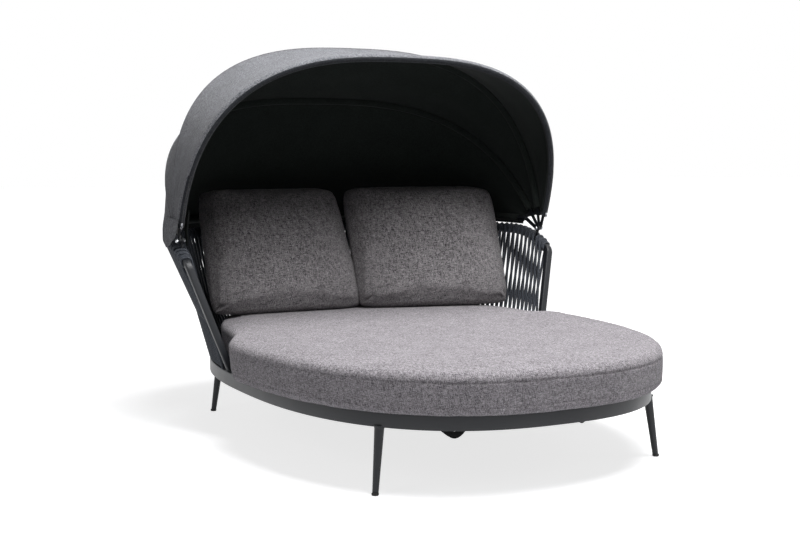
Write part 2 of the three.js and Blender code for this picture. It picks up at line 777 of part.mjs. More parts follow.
// The flattened end of a bow: a bar with round ends from the pivot hole into the tube.
function bowTab(bow, x) {
  const end = new THREE.Vector2(-bow.lift, bow.start + tabLap);
  const way = end.clone().normalize();
  const side = new THREE.Vector2(-way.y, way.x).multiplyScalar(tabWidth / 2);
  const turn = Math.atan2(way.y, way.x);
  const outline = new THREE.Shape();
  outline.moveTo(side.x, side.y);
  outline.absarc(0, 0, tabWidth / 2, turn + Math.PI / 2, turn + (3 * Math.PI) / 2);
  outline.lineTo(end.x - side.x, end.y - side.y);
  outline.lineTo(end.x + side.x, end.y + side.y);
  const hole = new THREE.Path();
  hole.absarc(0, 0, boltRadius + holeGap, 0, Math.PI * 2);
  outline.holes.push(hole);
  const plate = new THREE.ExtrudeGeometry(outline, {
    depth: tabThickness,
    bevelEnabled: false,
    curveSegments: eyeSegments,
  });
  plate.applyMatrix4(new THREE.Matrix4().makeBasis(new THREE.Vector3(0, 1, 0), up, across));
  return plate.translate(x, 0, 0);
}

function bowBody(bow, tabInner) {
  const tube = new THREE.ExtrudeGeometry(circleShape(bowRadius, bowSides), {
    steps: bowSteps,
    extrudePath: new BowCurve(bow),
    bevelEnabled: false,
  });
  let solid = toSolid(tube);
  solid = solid.add(toSolid(bowTab(bow, tabInner)));
  solid = solid.add(toSolid(bowTab(bow, -tabInner - tabThickness)));
  return toGeometry(solid);
}

// Canopy fabric

// A place on the line that cloth takes over a bow: share 0 at the left hem, 1 at the right hem; distance
// from the tube's centre line; turn about the tube, 0 at the crest and positive towards the front.
function clothPoint(bow, share, distance, turn = 0) {
  const angleUp = radians(bow.angle);
  const hem = bow.lift ? rearClothStart : hemHeight / Math.cos(angleUp);
  const startAngle = Math.asin((hem / bow.reach) ** (bowFullnessShare / 2));
  const angle = Math.PI - startAngle - share * (Math.PI - 2 * startAngle);
  const x = bow.halfWidth * signedPower(Math.cos(angle), 2 / bowFullnessShare);
  const v = bow.reach * Math.sin(angle) ** (2 / bowFullnessShare);
  const slopeX = signedPower(x / bow.halfWidth, bowFullnessShare - 1) / bow.halfWidth;
  const slopeV = (v / bow.reach) ** (bowFullnessShare - 1) / bow.reach;
  const size = Math.hypot(slopeX, slopeV);
  const crest = new THREE.Vector3(slopeX / size, 0, slopeV / size);
  const offset = crest.multiplyScalar(distance * Math.cos(turn));
  offset.y -= distance * Math.sin(turn);
  return new THREE.Vector3(x, -bow.lift, v).add(offset)
    .applyAxisAngle(across, angleUp)
    .add(new THREE.Vector3(0, pivotY, pivotZ));
}

// One panel of the cloth from one bow to the next, hanging in a little between them, with the sleeve turns
// round its first or last bow.
function clothPanel(from, to, steps, sleeveBefore, sleeveAfter) {
  const near = bowRadius + clothGap;
  const shares = Array.from({ length: 2 * clothStepsUp + 1 }, (_, i) => i / (2 * clothStepsUp));
  const facesAt = (distance) => {
    const columns = sleeveBefore.map((turn) => shares.map((s) => clothPoint(from, s, distance, radians(turn))));
    const width = clothPoint(from, 0.5, distance).distanceTo(clothPoint(to, 0.5, distance));
    const edge = clothSeamGap / 2 / width;
    for (let i = 0; i <= steps; i += 1) {
      const share = edge + (i / steps) * (1 - 2 * edge);
      columns.push(shares.map((s) => {
        const a = clothPoint(from, s, distance);
        const b = clothPoint(to, s, distance);
        const spanShare = a.distanceTo(b) / width;
        const pivot = new THREE.Vector3(0, pivotY, pivotZ);
        const point = a.lerp(b, share);
        const inward = new THREE.Vector3().subVectors(pivot, point).normalize();
        return point.addScaledVector(inward, clothSag * Math.sin(Math.PI * share) * Math.min(spanShare, 1));
      }));
    }
    sleeveAfter.forEach((turn) => columns.push(shares.map((s) => clothPoint(to, s, distance, -radians(turn)))));
    return columns;
  };
  return sheet(facesAt(near + clothThickness), facesAt(near));
}

// The zip slider with its pull, lying on the front of the hem sleeve.
function zipSlider() {
  const body = new THREE.BoxGeometry(sliderWidth, sliderDepth, sliderLength);
  const pull = new THREE.BoxGeometry(pullWidth, pullDepth, pullLength);
  pull.translate(0, -(sliderDepth - pullDepth) / 2, -(sliderLength + pullLength) / 2 + cutOverrun);
  return toGeometry(toSolid(body).add(toSolid(pull)));
}

// Mattress: the plan is wide in front of the posts and drawn in behind them.
function mattressPoint(angle, inset, shareOut, z) {
  const sine = Math.sin(angle);
  const rearDepth = ringRearDepth - mattressRearInset;
  const depth = sine < 0 ? mattressFrontDepth : rearDepth;
  const fullness = sine < 0 ? mattressFullnessShare : ringFullnessShare;
  const y = (depth - inset) * signedPower(sine, 2 / fullness);
  const shoulderEnd = mattressShoulderStart + mattressShoulderLength;
  const back = THREE.MathUtils.smoothstep(y, mattressShoulderStart, shoulderEnd);
  const rearHalf = ringHalfWidth - mattressRearInset;
  const half = THREE.MathUtils.lerp(mattressFrontHalfWidth, rearHalf, back) - inset;
  const x = half * signedPower(Math.cos(angle), 2 / fullness);
  return new THREE.Vector3(x * shareOut, y * shareOut, z);
}

function mattress() {
  const bottom = ringTop + seatGap;
  const top = bottom + mattressThickness;
  const e = mattressEdge;
  const [[crownInset]] = mattressUpperShares.slice(-1);
  // Inset from the outline, share of the plan and height of each ring, from the bottom to the crown
  const rings = [
    ...mattressLowerShares.map(([inset, height]) => [e * inset, 1, bottom + e * height]),
    [-mattressBulge, 1, (bottom + top) / 2],
    ...mattressUpperShares.map(([inset, height]) => [e * inset, 1, top - e * height]),
    ...mattressCrownShares.map(([plan, rise]) => [e * crownInset, plan, top + mattressCrown * rise]),
  ];
  // Even angles, and between them those of the two shoulders
  const even = Array.from({ length: mattressSteps }, (_, i) => (i / mattressSteps) * Math.PI * 2);
  const shoulder = mattressShoulderShares.map((share) => {
    const y = mattressShoulderStart + mattressShoulderLength * share;
    return Math.asin((y / (ringRearDepth - mattressRearInset)) ** (ringFullnessShare / 2));
  });
  const angles = [...even, ...shoulder, ...shoulder.map((angle) => Math.PI - angle)].sort((a, b) => a - b);
  return loft(rings.map(([inset, shareOut, z]) => angles.map((angle) => mattressPoint(angle, inset, shareOut, z))));
}

// A knife-edge pillow: two crowned faces that meet in a thin seam, its sides drawn in between rounded corners.
function pillow() {
  const face = (side) => Array.from({ length: pillowStepsUp + 1 }, (_, r) => {
    const v = (r / pillowStepsUp) * 2 - 1;
    return Array.from({ length: pillowStepsAcross + 1 }, (__, c) => {
      const u = (c / pillowStepsAcross) * 2 - 1;
      const full = ((1 - u * u) * (1 - v * v)) ** pillowFullShare;
      const halfWidth = pillowWidth / 2 - pillowDraw * (1 - v * v);
      const halfHeight = pillowHeight / 2 - pillowDraw * (1 - u * u);
      const depth = pillowSeam / 2 + ((pillowThickness - pillowSeam) / 2) * full;
      const cut = pillowCorner * (u * v) ** pillowCornerPower;
      const x = u * halfWidth - Math.sign(u) * cut;
      return new THREE.Vector3(x, side * depth, v * halfHeight - Math.sign(v) * cut);
    });
  });
  return sheet(face(-1), face(1));
}

// How far a mesh can be let down onto another, measured straight down from its points.
function heightOver(mesh, below) {
  mesh.updateMatrixWorld(true);
  below.updateMatrixWorld(true);
  const places = mesh.geometry.getAttribute('position');
  const down = new THREE.Raycaster();
  const point = new THREE.Vector3();
  let least = Infinity;
  for (let i = 0; i < places.count; i += 1) {
    down.set(mesh.localToWorld(point.fromBufferAttribute(places, i)), up.clone().negate());
    const [hit] = down.intersectObject(below, false);
    if (hit) least = Math.min(least, hit.distance);
  }
  return least;
}

// The daybed

const daybed = new THREE.Group();

function addMesh(name, geometry, look) {
  const mesh = new THREE.Mesh(geometry, new THREE.MeshStandardMaterial(look));
  mesh.name = name;
  daybed.add(mesh);
  return mesh;
}

// The same solid on both sides, the left one a mirror image.
function addPair(name, solid, look) {
  addMesh(`${name}_right`, toGeometry(solid), look);
  addMesh(`${name}_left`, toGeometry(solid.mirror([1, 0, 0])), look);
}

addMesh('base_ring', baseRing(), coat);
for (const [end, endName] of [[-1, 'front'], [1, 'rear']]) {
  for (const [side, sideName] of [[-1, 'left'], [1, 'right']]) {
    addMesh(`leg_${endName}_${sideName}`, leg(side, end), coat);
    addMesh(`glide_${endName}_${sideName}`, glide(side, end), blackPlastic);
  }
}
for (let i = -barsEachWay; i <= barsEachWay; i += 1) {
  addMesh(`deck_bar_${i + barsEachWay + 1}`, deckBar(i * barSpacing), coat);
}
addMesh('deck_sheet', deckSheet(), deckLook);
strapPlaces.forEach((place, i) => addMesh(`tie_strap_${i + 1}`, tieStrap(place), webbing));

addPair('post', rightPost, coat);
addPair('post_gusset', rightGusset(), coat);
addMesh('top_rail', topRail(), coat);
addMesh('lower_rail', lowerRail(), coat);
addPair('pivot_bracket', rightBracket(), coat);
addPair('pivot_bolt', toSolid(rightBolt()), steel);

for (let panel = 0; panel < panelsPerSide; panel += 1) {
  const points = ropePoints(panel);
  const { gap, length } = leastGap(points);
  console.log(`rope panel ${panel + 1}: ${length.toFixed(0)} mm of rope, least gap to itself ${gap.toFixed(2)} mm`);
  addPair(`rope_panel_${panel + 1}`, toSolid(mitredTube(points, ropeRadius, ropeSides)), ropeLook);
}

// Bows on the two pivots; the tabs lie side by side on the bolt.
const bows = [
  ['front_bow', frontBow, frontBow.halfWidth - tabThickness / 2],
  ['middle_bow', middleBow, middleBow.halfWidth - tabThickness / 2],
  ['rear_middle_bow', rearMiddleBow, rearMiddleBow.halfWidth - tabThickness / 2],
  ['rear_bow', rearBow, bracketX - bracketThickness / 2 - seatGap - tabThickness],
];
for (const [name, bow, tabInner] of bows) {
  const mesh = addMesh(name, bowBody(bow, tabInner), coat);
  mesh.position.set(0, pivotY, pivotZ);
  mesh.rotation.x = radians(bow.angle);
}

addMesh('canopy_front_panel', clothPanel(frontBow, middleBow, 4, sleeveTurns, []), canopyLook);
addMesh('canopy_middle_panel', clothPanel(middleBow, rearMiddleBow, 4, [], []), canopyLook);
addMesh('canopy_rear_panel', clothPanel(rearMiddleBow, rearBow, 5, [], rearSleeveTurns), canopyLook);

// The sliders lie on the hem sleeve and tilt with the line that the zip follows.
const zipCurve = new BowCurve({ ...frontBow, start: sliderHeight });
const zipTop = new BowCurve({ ...frontBow, start: sliderHeight + zipTravel });
for (const [side, sideName] of [[1, 'right'], [-1, 'left']]) {
  const foot = zipCurve.getPoint(0);
  const head = zipTop.getPoint(0);
  const out = bowRadius + clothGap + clothThickness + seatGap + sliderDepth / 2;
  const geometry = zipSlider();
  geometry.rotateY(-side * Math.atan2(foot.x - head.x, head.z - foot.z)).translate(side * foot.x, -out, foot.z);
  const slider = addMesh(`zip_slider_${sideName}`, geometry, steel);
  slider.position.set(0, pivotY, pivotZ);
  slider.rotation.x = radians(frontBow.angle);
}

const pad = addMesh('mattress', mattress(), padLook);
// Each pillow leans back and is let down until it stands on the mattress.
for (const [name, place] of [['pillow_left', leftPillow], ['pillow_right', rightPillow]]) {
  const mesh = addMesh(name, pillow(), pillowLook);
  mesh.rotation.set(-radians(place.lean), 0, radians(place.turn), 'ZXY');
  mesh.position.set(place.x, place.y, ringTop + mattressThickness + pillowHeight);
  mesh.position.z -= heightOver(mesh, pad) - seatGap;
}

// The frame's origin is under the middle of the box.
const box = new THREE.Box3().setFromObject(daybed);
daybed.position.y = -(box.min.y + box.max.y) / 2;
console.log(`the ring's centre lies at y ${daybed.position.y.toFixed(3)}, the box is`, box.getSize(new THREE.Vector3()));

export default daybed;
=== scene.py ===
import math

import bpy
import numpy as np
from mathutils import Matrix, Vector


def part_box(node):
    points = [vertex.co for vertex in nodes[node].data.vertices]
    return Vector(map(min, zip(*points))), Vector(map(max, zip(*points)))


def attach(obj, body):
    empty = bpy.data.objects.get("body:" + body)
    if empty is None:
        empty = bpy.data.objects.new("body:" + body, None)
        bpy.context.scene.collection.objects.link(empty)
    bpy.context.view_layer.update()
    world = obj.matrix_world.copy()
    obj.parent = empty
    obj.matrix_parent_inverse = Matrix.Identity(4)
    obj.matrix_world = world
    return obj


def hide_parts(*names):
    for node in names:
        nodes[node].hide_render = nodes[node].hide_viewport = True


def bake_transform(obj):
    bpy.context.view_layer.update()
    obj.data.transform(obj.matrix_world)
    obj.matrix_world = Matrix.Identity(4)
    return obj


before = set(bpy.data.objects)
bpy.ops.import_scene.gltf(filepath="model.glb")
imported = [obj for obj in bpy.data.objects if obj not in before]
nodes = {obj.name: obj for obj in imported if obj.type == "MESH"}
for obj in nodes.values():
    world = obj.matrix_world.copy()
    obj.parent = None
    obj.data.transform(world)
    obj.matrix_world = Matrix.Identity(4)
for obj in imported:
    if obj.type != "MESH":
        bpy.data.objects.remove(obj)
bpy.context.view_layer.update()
scene = bpy.context.scene
scene.view_settings.view_transform = "Standard"
up = np.array([0.0, 0.0, 1.0])
across = np.array([1.0, 0.0, 0.0])
print("frame loaded:", len(nodes), "nodes")

# The camera stands where the photograph was taken from
cameraSettings = {"place": (-2.509, -4.636, 1.163), "azimuth": -27.92, "elevation": 5.35, "lens": 58.87}
camera = bpy.data.objects.new("camera", bpy.data.cameras.new("camera"))
scene.collection.objects.link(camera)
scene.camera = camera
camera.location = cameraSettings["place"]
azimuth, elevation = (math.radians(cameraSettings[key]) for key in ("azimuth", "elevation"))
cameraBack = Vector((
    math.sin(azimuth) * math.cos(elevation),
    -math.cos(azimuth) * math.cos(elevation),
    math.sin(elevation),
))
camera.rotation_mode = "QUATERNION"
camera.rotation_quaternion = (-cameraBack).to_track_quat("-Z", "Y")
camera.data.sensor_width = 36.0
camera.data.lens = cameraSettings["lens"]
camera.data.clip_start = 0.05
camera.data.clip_end = 100.0


# Small sums on arrays

def unit(vectors):
    return vectors / np.maximum(np.linalg.norm(vectors, axis=-1, keepdims=True), 1e-12)


def signedPower(value, power):
    return np.sign(value) * np.abs(value) ** power


def superellipse(turn, half, depth, fullness):
    # Half the width times the signed power 2 / fullness of the cosine, and the depth times that of the sine
    return half * signedPower(np.cos(turn), 2 / fullness), depth * signedPower(np.sin(turn), 2 / fullness)


def smoothStep(value, low, high):
    share = np.clip((value - low) / (high - low), 0, 1)
    return share * share * (3 - 2 * share)


def measured(points):
    # Length along a line of points, from its first one
    return np.concatenate([[0.0], np.cumsum(np.linalg.norm(np.diff(points, axis=0), axis=1))])


def pointsAt(line, run, at):
    # The line's points, or anything kept with them, at given lengths along it
    return np.stack([np.interp(at, run, line[:, k]) for k in range(line.shape[1])], axis=1)


def evenly(points, steps):
    # The same line with its points at even lengths
    run = measured(points)
    return pointsAt(points, run, np.linspace(0, run[-1], steps))


def framesAt(line, at, outward):
    # Places at given lengths along a line, each with its turning matrix: sideways, outwards and along the line
    run = measured(line)
    way = unit(pointsAt(np.gradient(line, run, axis=0), run, at))
    side = unit(np.cross(pointsAt(outward, run, at), way))
    return pointsAt(line, run, at), np.stack([side, np.cross(way, side), way], axis=2)


def midwayBend(start, corner, end, shares):
    # A parabola that leaves its start and meets its end along the lines to the corner
    return (1 - shares) ** 2 * start + 2 * shares * (1 - shares) * corner + shares**2 * end


def curveThrough(points, steps):
    # A Catmull-Rom curve through the points, with a number of steps in each span
    points = np.asarray(points, float)
    ends = np.concatenate([[2 * points[0] - points[1]], points, [2 * points[-1] - points[-2]]])
    a, b, c, d = (ends[k:len(ends) - 3 + k, None] for k in range(4))
    t = np.linspace(0, 1, steps, endpoint=False)[None, :, None]
    line = b + t * (c - a) / 2 + t**2 * (a - 2.5 * b + 2 * c - d / 2) + t**3 * (1.5 * (b - c) + (d - a) / 2)
    return np.concatenate([line.reshape(-1, points.shape[1]), points[-1:]])


# Surfaces: a part is its points, its faces in arrays, their UVs and their material places

def gridQuads(rows, columns, wrapRows=False, wrapColumns=False):
    r = np.arange(rows if wrapRows else rows - 1)[:, None]
    c = np.arange(columns if wrapColumns else columns - 1)[None, :]
    nextRow, nextColumn = (r + 1) % rows * columns, (c + 1) % columns
    row = r * columns
    quads = [row + c, row + nextColumn, nextRow + nextColumn, nextRow + c]
    return np.stack(np.broadcast_arrays(*quads), axis=-1).reshape(-1, 4)


def faceCorners(grid):
    return grid[:-1, :-1], grid[:-1, 1:], grid[1:, 1:], grid[1:, :-1]


def gridUv(u, v):
    # u along the rows and v along the columns, each one value longer than there are faces
    return np.stack(faceCorners(np.stack(np.meshgrid(u, v, indexing="ij"), axis=-1)), axis=2).reshape(-1, 4, 2)


def rimOf(rows, columns):
    # The points round the edge of a grid, in order
    grid = np.arange(rows * columns).reshape(rows, columns)
    return np.concatenate([grid[0, :-1], grid[:-1, -1], grid[-1, :0:-1], grid[:0:-1, 0]])


def roundedSection(width, height, radius, steps=4):
    # A rectangle with round corners: a quarter circle about each inner corner, anticlockwise
    turn = (np.linspace(0, 0.5, steps + 1)[None] + np.arange(4)[:, None] / 2) * np.pi
    centres = np.array([[1, 1], [-1, 1], [-1, -1], [1, -1]]) * [width / 2 - radius, height / 2 - radius]
    arcs = radius * np.stack([np.cos(turn), np.sin(turn)], axis=-1)
    return (arcs + centres[:, None]).reshape(-1, 2)


def circle(radius, sides):
    turn = np.arange(sides) / sides * 2 * np.pi
    return radius * np.stack([np.cos(turn), np.sin(turn)], axis=1)


def rolled(section, angle):
    # A section turned by an angle in its own plane
    c, s = math.cos(angle), math.sin(angle)
    return section @ np.array([[c, s], [-s, c]])


def sweep(path, section, sideways=None, reference=up, along=None, scale=1.0, loop=False):
    # A section carried along a path: each point is the path's point, plus the section's first number times
    # the sideways direction and its second times the direction square to that and to the path
    path = np.asarray(path, float)
    if along is None:
        along = np.roll(path, -1, 0) - np.roll(path, 1, 0) if loop else np.gradient(path, axis=0)
    along = unit(np.broadcast_to(along, path.shape))
    if sideways is None:
        side = unit(np.cross(np.broadcast_to(reference, path.shape), along))
    else:
        side = np.broadcast_to(sideways, path.shape)
        side = unit(side - along * (side * along).sum(1, keepdims=True))
    over = np.cross(along, side)
    size = np.broadcast_to(scale, len(path))[:, None, None]
    points = path[:, None] + size * (section[None, :, :1] * side[:, None] + section[None, :, 1:] * over[:, None])
    count, corners = len(path), len(section)
    run = measured(np.concatenate([path, path[:1]]) if loop else path)
    turn = measured(np.concatenate([section, section[:1]]))
    faces = [gridQuads(count, corners, loop, True)]
    uvs = [gridUv(run, turn)]
    if not loop:
        faces += [np.arange(corners)[None, ::-1], (count - 1) * corners + np.arange(corners)[None]]
        uvs += [section[None, ::-1], section[None]]
    return points.reshape(-1, 3), faces, uvs, [0] * len(faces)


def lathe(profile, sides, base, axis=up):
    # A profile of radius and height turned about an axis
    profile, way = np.asarray(profile, float), unit(np.asarray(axis, float))
    path = np.asarray(base, float) + profile[:, 1:] * way
    return sweep(path, circle(1.0, sides), sideways=across if abs(way[0]) < 0.7 else up, along=way,
                 scale=profile[:, 0])


def shell(outer, inner, u, v, slots=(0, 0, 0)):
    # A sheet with thickness: two grids of points closed at their rims; slots for outer face, inner face, rim
    rows, columns = outer.shape[:2]
    total = rows * columns
    quads, uv, rim = gridQuads(rows, columns), gridUv(u, v), rimOf(rows, columns)
    after = np.roll(rim, -1)
    rimQuads = np.stack([rim, rim + total, after + total, after], axis=1)
    flatPlace = np.stack(np.meshgrid(u, v, indexing="ij"), axis=-1).reshape(-1, 2)
    rimUv = flatPlace[rimQuads % total]
    points = np.concatenate([outer.reshape(-1, 3), inner.reshape(-1, 3)])
    return points, [quads, (quads + total)[:, ::-1], rimQuads], [uv, uv[:, ::-1], rimUv], list(slots)


def joined(parts):
    points, faces, uvs, slots, first = [], [], [], [], 0
    for part in parts:
        points.append(part[0])
        faces += [f + first for f in part[1]]
        uvs += part[2]
        slots += part[3]
        first += len(part[0])
    return np.concatenate(points), faces, uvs, slots


def mirrored(part):
    # The same part on the other side of the middle plane
    return part[0] * [-1, 1, 1], [f[:, ::-1] for f in part[1]], [uv[:, ::-1] for uv in part[2]], part[3]


def repeated(part, places, turns):
    # One small part set at many places, each with its own turning matrix
    points = np.einsum("mij,nj->mni", turns, part[0]) + places[:, None]
    count, size = len(places), len(part[0])
    first = (np.arange(count) * size)[:, None, None]
    faces = [(f[None] + first).reshape(-1, f.shape[1]) for f in part[1]]
    uvs = [np.tile(uv, (count, 1, 1)) for uv in part[2]]
    return points.reshape(-1, 3), faces, uvs, part[3]


def enclosed(points, faceSets):
    # The volume inside a closed part, which is below zero where its faces point inwards
    total = 0.0
    for faces in faceSets:
        a = points[faces[:, 0]]
        for k in range(1, faces.shape[1] - 1):
            total += (a * np.cross(points[faces[:, k]], points[faces[:, k + 1]])).sum() / 6
    return total


def makePiece(name, part, materials, smoothAngle=38):
    points, faceSets, uvSets, slots = part
    if enclosed(points, faceSets) < 0:
        faceSets = [f[:, ::-1] for f in faceSets]
        uvSets = [uv[:, ::-1] for uv in uvSets]
    corners = np.concatenate([f.ravel() for f in faceSets]).astype(np.int32)
    counts = np.concatenate([np.full(len(f), f.shape[1]) for f in faceSets])
    places = np.concatenate([np.broadcast_to(s, len(f)) for s, f in zip(slots, faceSets)])
    mesh = bpy.data.meshes.new(name)
    mesh.vertices.add(len(points))
    mesh.vertices.foreach_set("co", points.astype(np.float32).ravel())
    mesh.loops.add(len(corners))
    mesh.loops.foreach_set("vertex_index", corners)
    mesh.polygons.add(len(counts))
    mesh.polygons.foreach_set("loop_start", np.concatenate([[0], np.cumsum(counts)[:-1]]).astype(np.int32))
    mesh.polygons.foreach_set("use_smooth", np.ones(len(counts), bool))
    mesh.polygons.foreach_set("material_index", places.astype(np.int32))
    mesh.update(calc_edges=True)
    uvLayer = mesh.uv_layers.new(name="place")
    uvLayer.data.foreach_set("uv", np.concatenate([uv.reshape(-1, 2) for uv in uvSets]).astype(np.float32).ravel())
    mesh.set_sharp_from_angle(angle=math.radians(smoothAngle))
    for material in materials:
        mesh.materials.append(material)
    piece = bpy.data.objects.new(name, mesh)
    scene.collection.objects.link(piece)
    return piece


def dress(piece, body, node=None):
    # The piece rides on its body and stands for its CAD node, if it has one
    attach(piece, body)
    if node:
        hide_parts(node)
    return piece


def makePair(name, part, materials, node=None, body="frame", smoothAngle=38):
    # The same piece on the right and, mirrored, on the left; {} in a body's name stands for the side's
    pair = []
    for sideName, sidePart in (("right", part), ("left", mirrored(part))):
        piece = makePiece(f"{name}_{sideName}", sidePart, materials, smoothAngle)
        pair.append(dress(piece, body.format(sideName), node and f"{node}_{sideName}"))
    return pair


def makeSheet(name, grids, column, row, materials, body, slots=(0, 0, 0), smoothAngle=70):
    # A thin sheet between an outer and an inner grid, whose UVs measure its length up one column and along
    # one row; cut sheets have less cloth than that rectangle
    outer, inner = grids
    u, v = measured(outer[:, column]), measured(outer[row])
    sheet = dress(makePiece(name, shell(outer, inner, u, v, slots), materials, smoothAngle), body)


def pointsOf(piece):
    places = np.zeros(len(piece.data.vertices) * 3, np.float32)
    piece.data.vertices.foreach_get("co", places)
    return places.reshape(-1, 3).astype(float)


def setPoints(piece, points):
    piece.data.vertices.foreach_set("co", points.astype(np.float32).ravel())
    piece.data.update()


# Shader nodes

def tint(red, green, blue):
    # A colour as a screen shows it, 0 to 255, made linear
    return tuple((np.array([red, green, blue]) / 255) ** 2.2) + (1.0,)


def filled(tree, made, inputs):
    # Sets a node's inputs, by a link where the value is another node's output
    for key, value in inputs.items():
        if isinstance(value, bpy.types.NodeSocket):
            tree.links.new(value, made.inputs[key])
        else:
            made.inputs[key].default_value = value
    return made


def addNode(tree, kind, settings=None, inputs=None):
    made = tree.nodes.new("ShaderNode" + kind)
    for key, value in (settings or {}).items():
        setattr(made, key, value)
    return filled(tree, made, inputs or {})


def maths(tree, operation, *values):
    return addNode(tree, "Math", {"operation": operation}, dict(enumerate(values))).outputs[0]


def noise(tree, place, scale, detail, roughness):
    inputs = {"Vector": place, "Scale": scale, "Detail": detail, "Roughness": roughness}
    return addNode(tree, "TexNoise", {"noise_dimensions": "3D"}, inputs).outputs["Fac"]


def newGroup(name, inputs, outputs):
    tree = bpy.data.node_groups.new(name, "ShaderNodeTree")
    for socketName, kind, value in inputs:
        socket = tree.interface.new_socket(name=socketName, in_out="INPUT", socket_type="NodeSocket" + kind)
        if value is not None:
            socket.default_value = value
    for socketName, kind in outputs:
        tree.interface.new_socket(name=socketName, in_out="OUTPUT", socket_type="NodeSocket" + kind)
    return tree, tree.nodes.new("NodeGroupInput").outputs, tree.nodes.new("NodeGroupOutput").inputs


def useGroup(tree, group, inputs):
    return addNode(tree, "Group", {"node_tree": group}, inputs).outputs


def makeYarnWeave():
    # Plain weave of slubby yarns. Over and under change place like a chequerboard; each yarn has a tone that
    # drifts along its length, and a slow cloud of tone lies over all
    tree, given, out = newGroup(
        "yarnWeave",
        [("Place", "Vector", None), ("Thread", "Float", 0.003), ("Slub", "Float", 0.1), ("Cloud", "Float", 0.3)],
        [("Tone", "Float"), ("Height", "Float")],
    )
    perThread = maths(tree, "DIVIDE", 1.0, given["Thread"])
    scaled = addNode(tree, "VectorMath", {"operation": "SCALE"}, {0: given["Place"], "Scale": perThread})
    axes = addNode(tree, "SeparateXYZ", None, {0: scaled.outputs[0]})
    x, y = axes.outputs[0], axes.outputs[1]
    shiftX = maths(tree, "COSINE", maths(tree, "MULTIPLY", x, math.pi))
    shiftY = maths(tree, "COSINE", maths(tree, "MULTIPLY", y, math.pi))
    over = maths(tree, "MULTIPLY_ADD", maths(tree, "MULTIPLY", shiftX, shiftY), 3.0, 0.5)
    clipped = addNode(tree, "Clamp", None, {"Value": over}).outputs[0]
    tones = []
    for along, yarn in ((y, x), (x, y)):
        number = maths(tree, "MULTIPLY", maths(tree, "ROUND", yarn), 7.31)
        drift = maths(tree, "MULTIPLY", along, given["Slub"])
        place = addNode(tree, "CombineXYZ", None, {0: number, 1: drift, 2: 0.0 if yarn is x else 31.0})
        tones.append(noise(tree, place.outputs[0], 1.0, 3.0, 0.75))
    yarnTone = addNode(tree, "Mix", {"data_type": "FLOAT"}, {0: clipped, 2: tones[0], 3: tones[1]}).outputs[0]
    cloud = noise(tree, given["Place"], 9.0, 3.0, 0.55)
    cloudPart = maths(tree, "MULTIPLY", maths(tree, "SUBTRACT", cloud, 0.5), given["Cloud"])
    tree.links.new(maths(tree, "ADD", yarnTone, cloudPart), out["Tone"])
    roundX = maths(tree, "ABSOLUTE", shiftX)
    roundY = maths(tree, "ABSOLUTE", shiftY)
    relief = addNode(tree, "Mix", {"data_type": "FLOAT"}, {0: clipped, 2: roundX, 3: roundY}).outputs[0]
    tree.links.new(maths(tree, "ADD", relief, yarnTone), out["Height"])
    return tree


def makeRopeBraid():
    # Diamond braid round a cord: two sets of yarns wind opposite ways, and their waves multiply
    tree, given, out = newGroup(
        "ropeBraid",
        [("Place", "Vector", None), ("Pitch", "Float", 0.011), ("Girth", "Float", 0.0364), ("Yarns", "Float", 4.0)],
        [("Tone", "Float"), ("Height", "Float")],
    )
    axes = addNode(tree, "SeparateXYZ", None, {0: given["Place"]})
    run = maths(tree, "DIVIDE", axes.outputs[0], given["Pitch"])
    turn = maths(tree, "MULTIPLY", maths(tree, "DIVIDE", axes.outputs[1], given["Girth"]), given["Yarns"])
    oneWay = maths(tree, "MULTIPLY", maths(tree, "ADD", run, turn), 2 * math.pi)
    otherWay = maths(tree, "MULTIPLY", maths(tree, "SUBTRACT", run, turn), 2 * math.pi)
    product = maths(tree, "MULTIPLY", maths(tree, "SINE", oneWay), maths(tree, "SINE", otherWay))
    height = maths(tree, "POWER", maths(tree, "ABSOLUTE", product), 0.5)
    tree.links.new(height, out["Height"])
    # The tone is fibre noise plus the braid's height: partly the yarn's own tone, partly painted sheen on the raised
    # yarns and painted shade in the grooves
    fibre = noise(tree, given["Place"], 1400.0, 2.0, 0.6)
    tree.links.new(maths(tree, "MULTIPLY_ADD", fibre, 0.5, maths(tree, "MULTIPLY", height, 0.6)), out["Tone"])
    return tree


def makePowderCoat():
    # Orange peel, a slow change of gloss, and fine dust where the surface faces up
    tree, given, out = newGroup(
        "powderCoat",
        [("Place", "Vector", None), ("Facing", "Vector", None), ("Peel", "Float", 700.0), ("Dust", "Float", 0.15)],
        [("Dust", "Float"), ("Gloss", "Float"), ("Height", "Float")],
    )
    peel = noise(tree, given["Place"], given["Peel"], 2.0, 0.5)
    slow = noise(tree, given["Place"], 6.0, 3.0, 0.5)
    facing = addNode(tree, "SeparateXYZ", None, {0: given["Facing"]}).outputs[2]
    level = addNode(tree, "Clamp", None, {"Value": facing}).outputs[0]
    speckle = noise(tree, given["Place"], 90.0, 5.0, 0.7)
    dust = maths(tree, "MULTIPLY", maths(tree, "MULTIPLY", level, speckle), given["Dust"])
    tree.links.new(dust, out["Dust"])
    tree.links.new(maths(tree, "ADD", slow, maths(tree, "MULTIPLY", dust, 2.0)), out["Gloss"])
    tree.links.new(peel, out["Height"])
    return tree


yarnWeave, ropeBraid, powderCoat = makeYarnWeave(), makeRopeBraid(), makePowderCoat()


def newMaterial(name, fixed):
    # A material with its Principled shader; fixed holds the numbers that are the same all over
    material = bpy.data.materials.new(name)
    material.use_nodes = True
    tree = material.node_tree
    shader = tree.nodes["Principled BSDF"]
    for key, value in fixed.items():
        shader.inputs[key].default_value = value
    return material, tree, shader


def colourBetween(tree, factor, low, high):
    return addNode(tree, "Mix", {"data_type": "RGBA"}, {0: factor, 6: low, 7: high}).outputs[2]


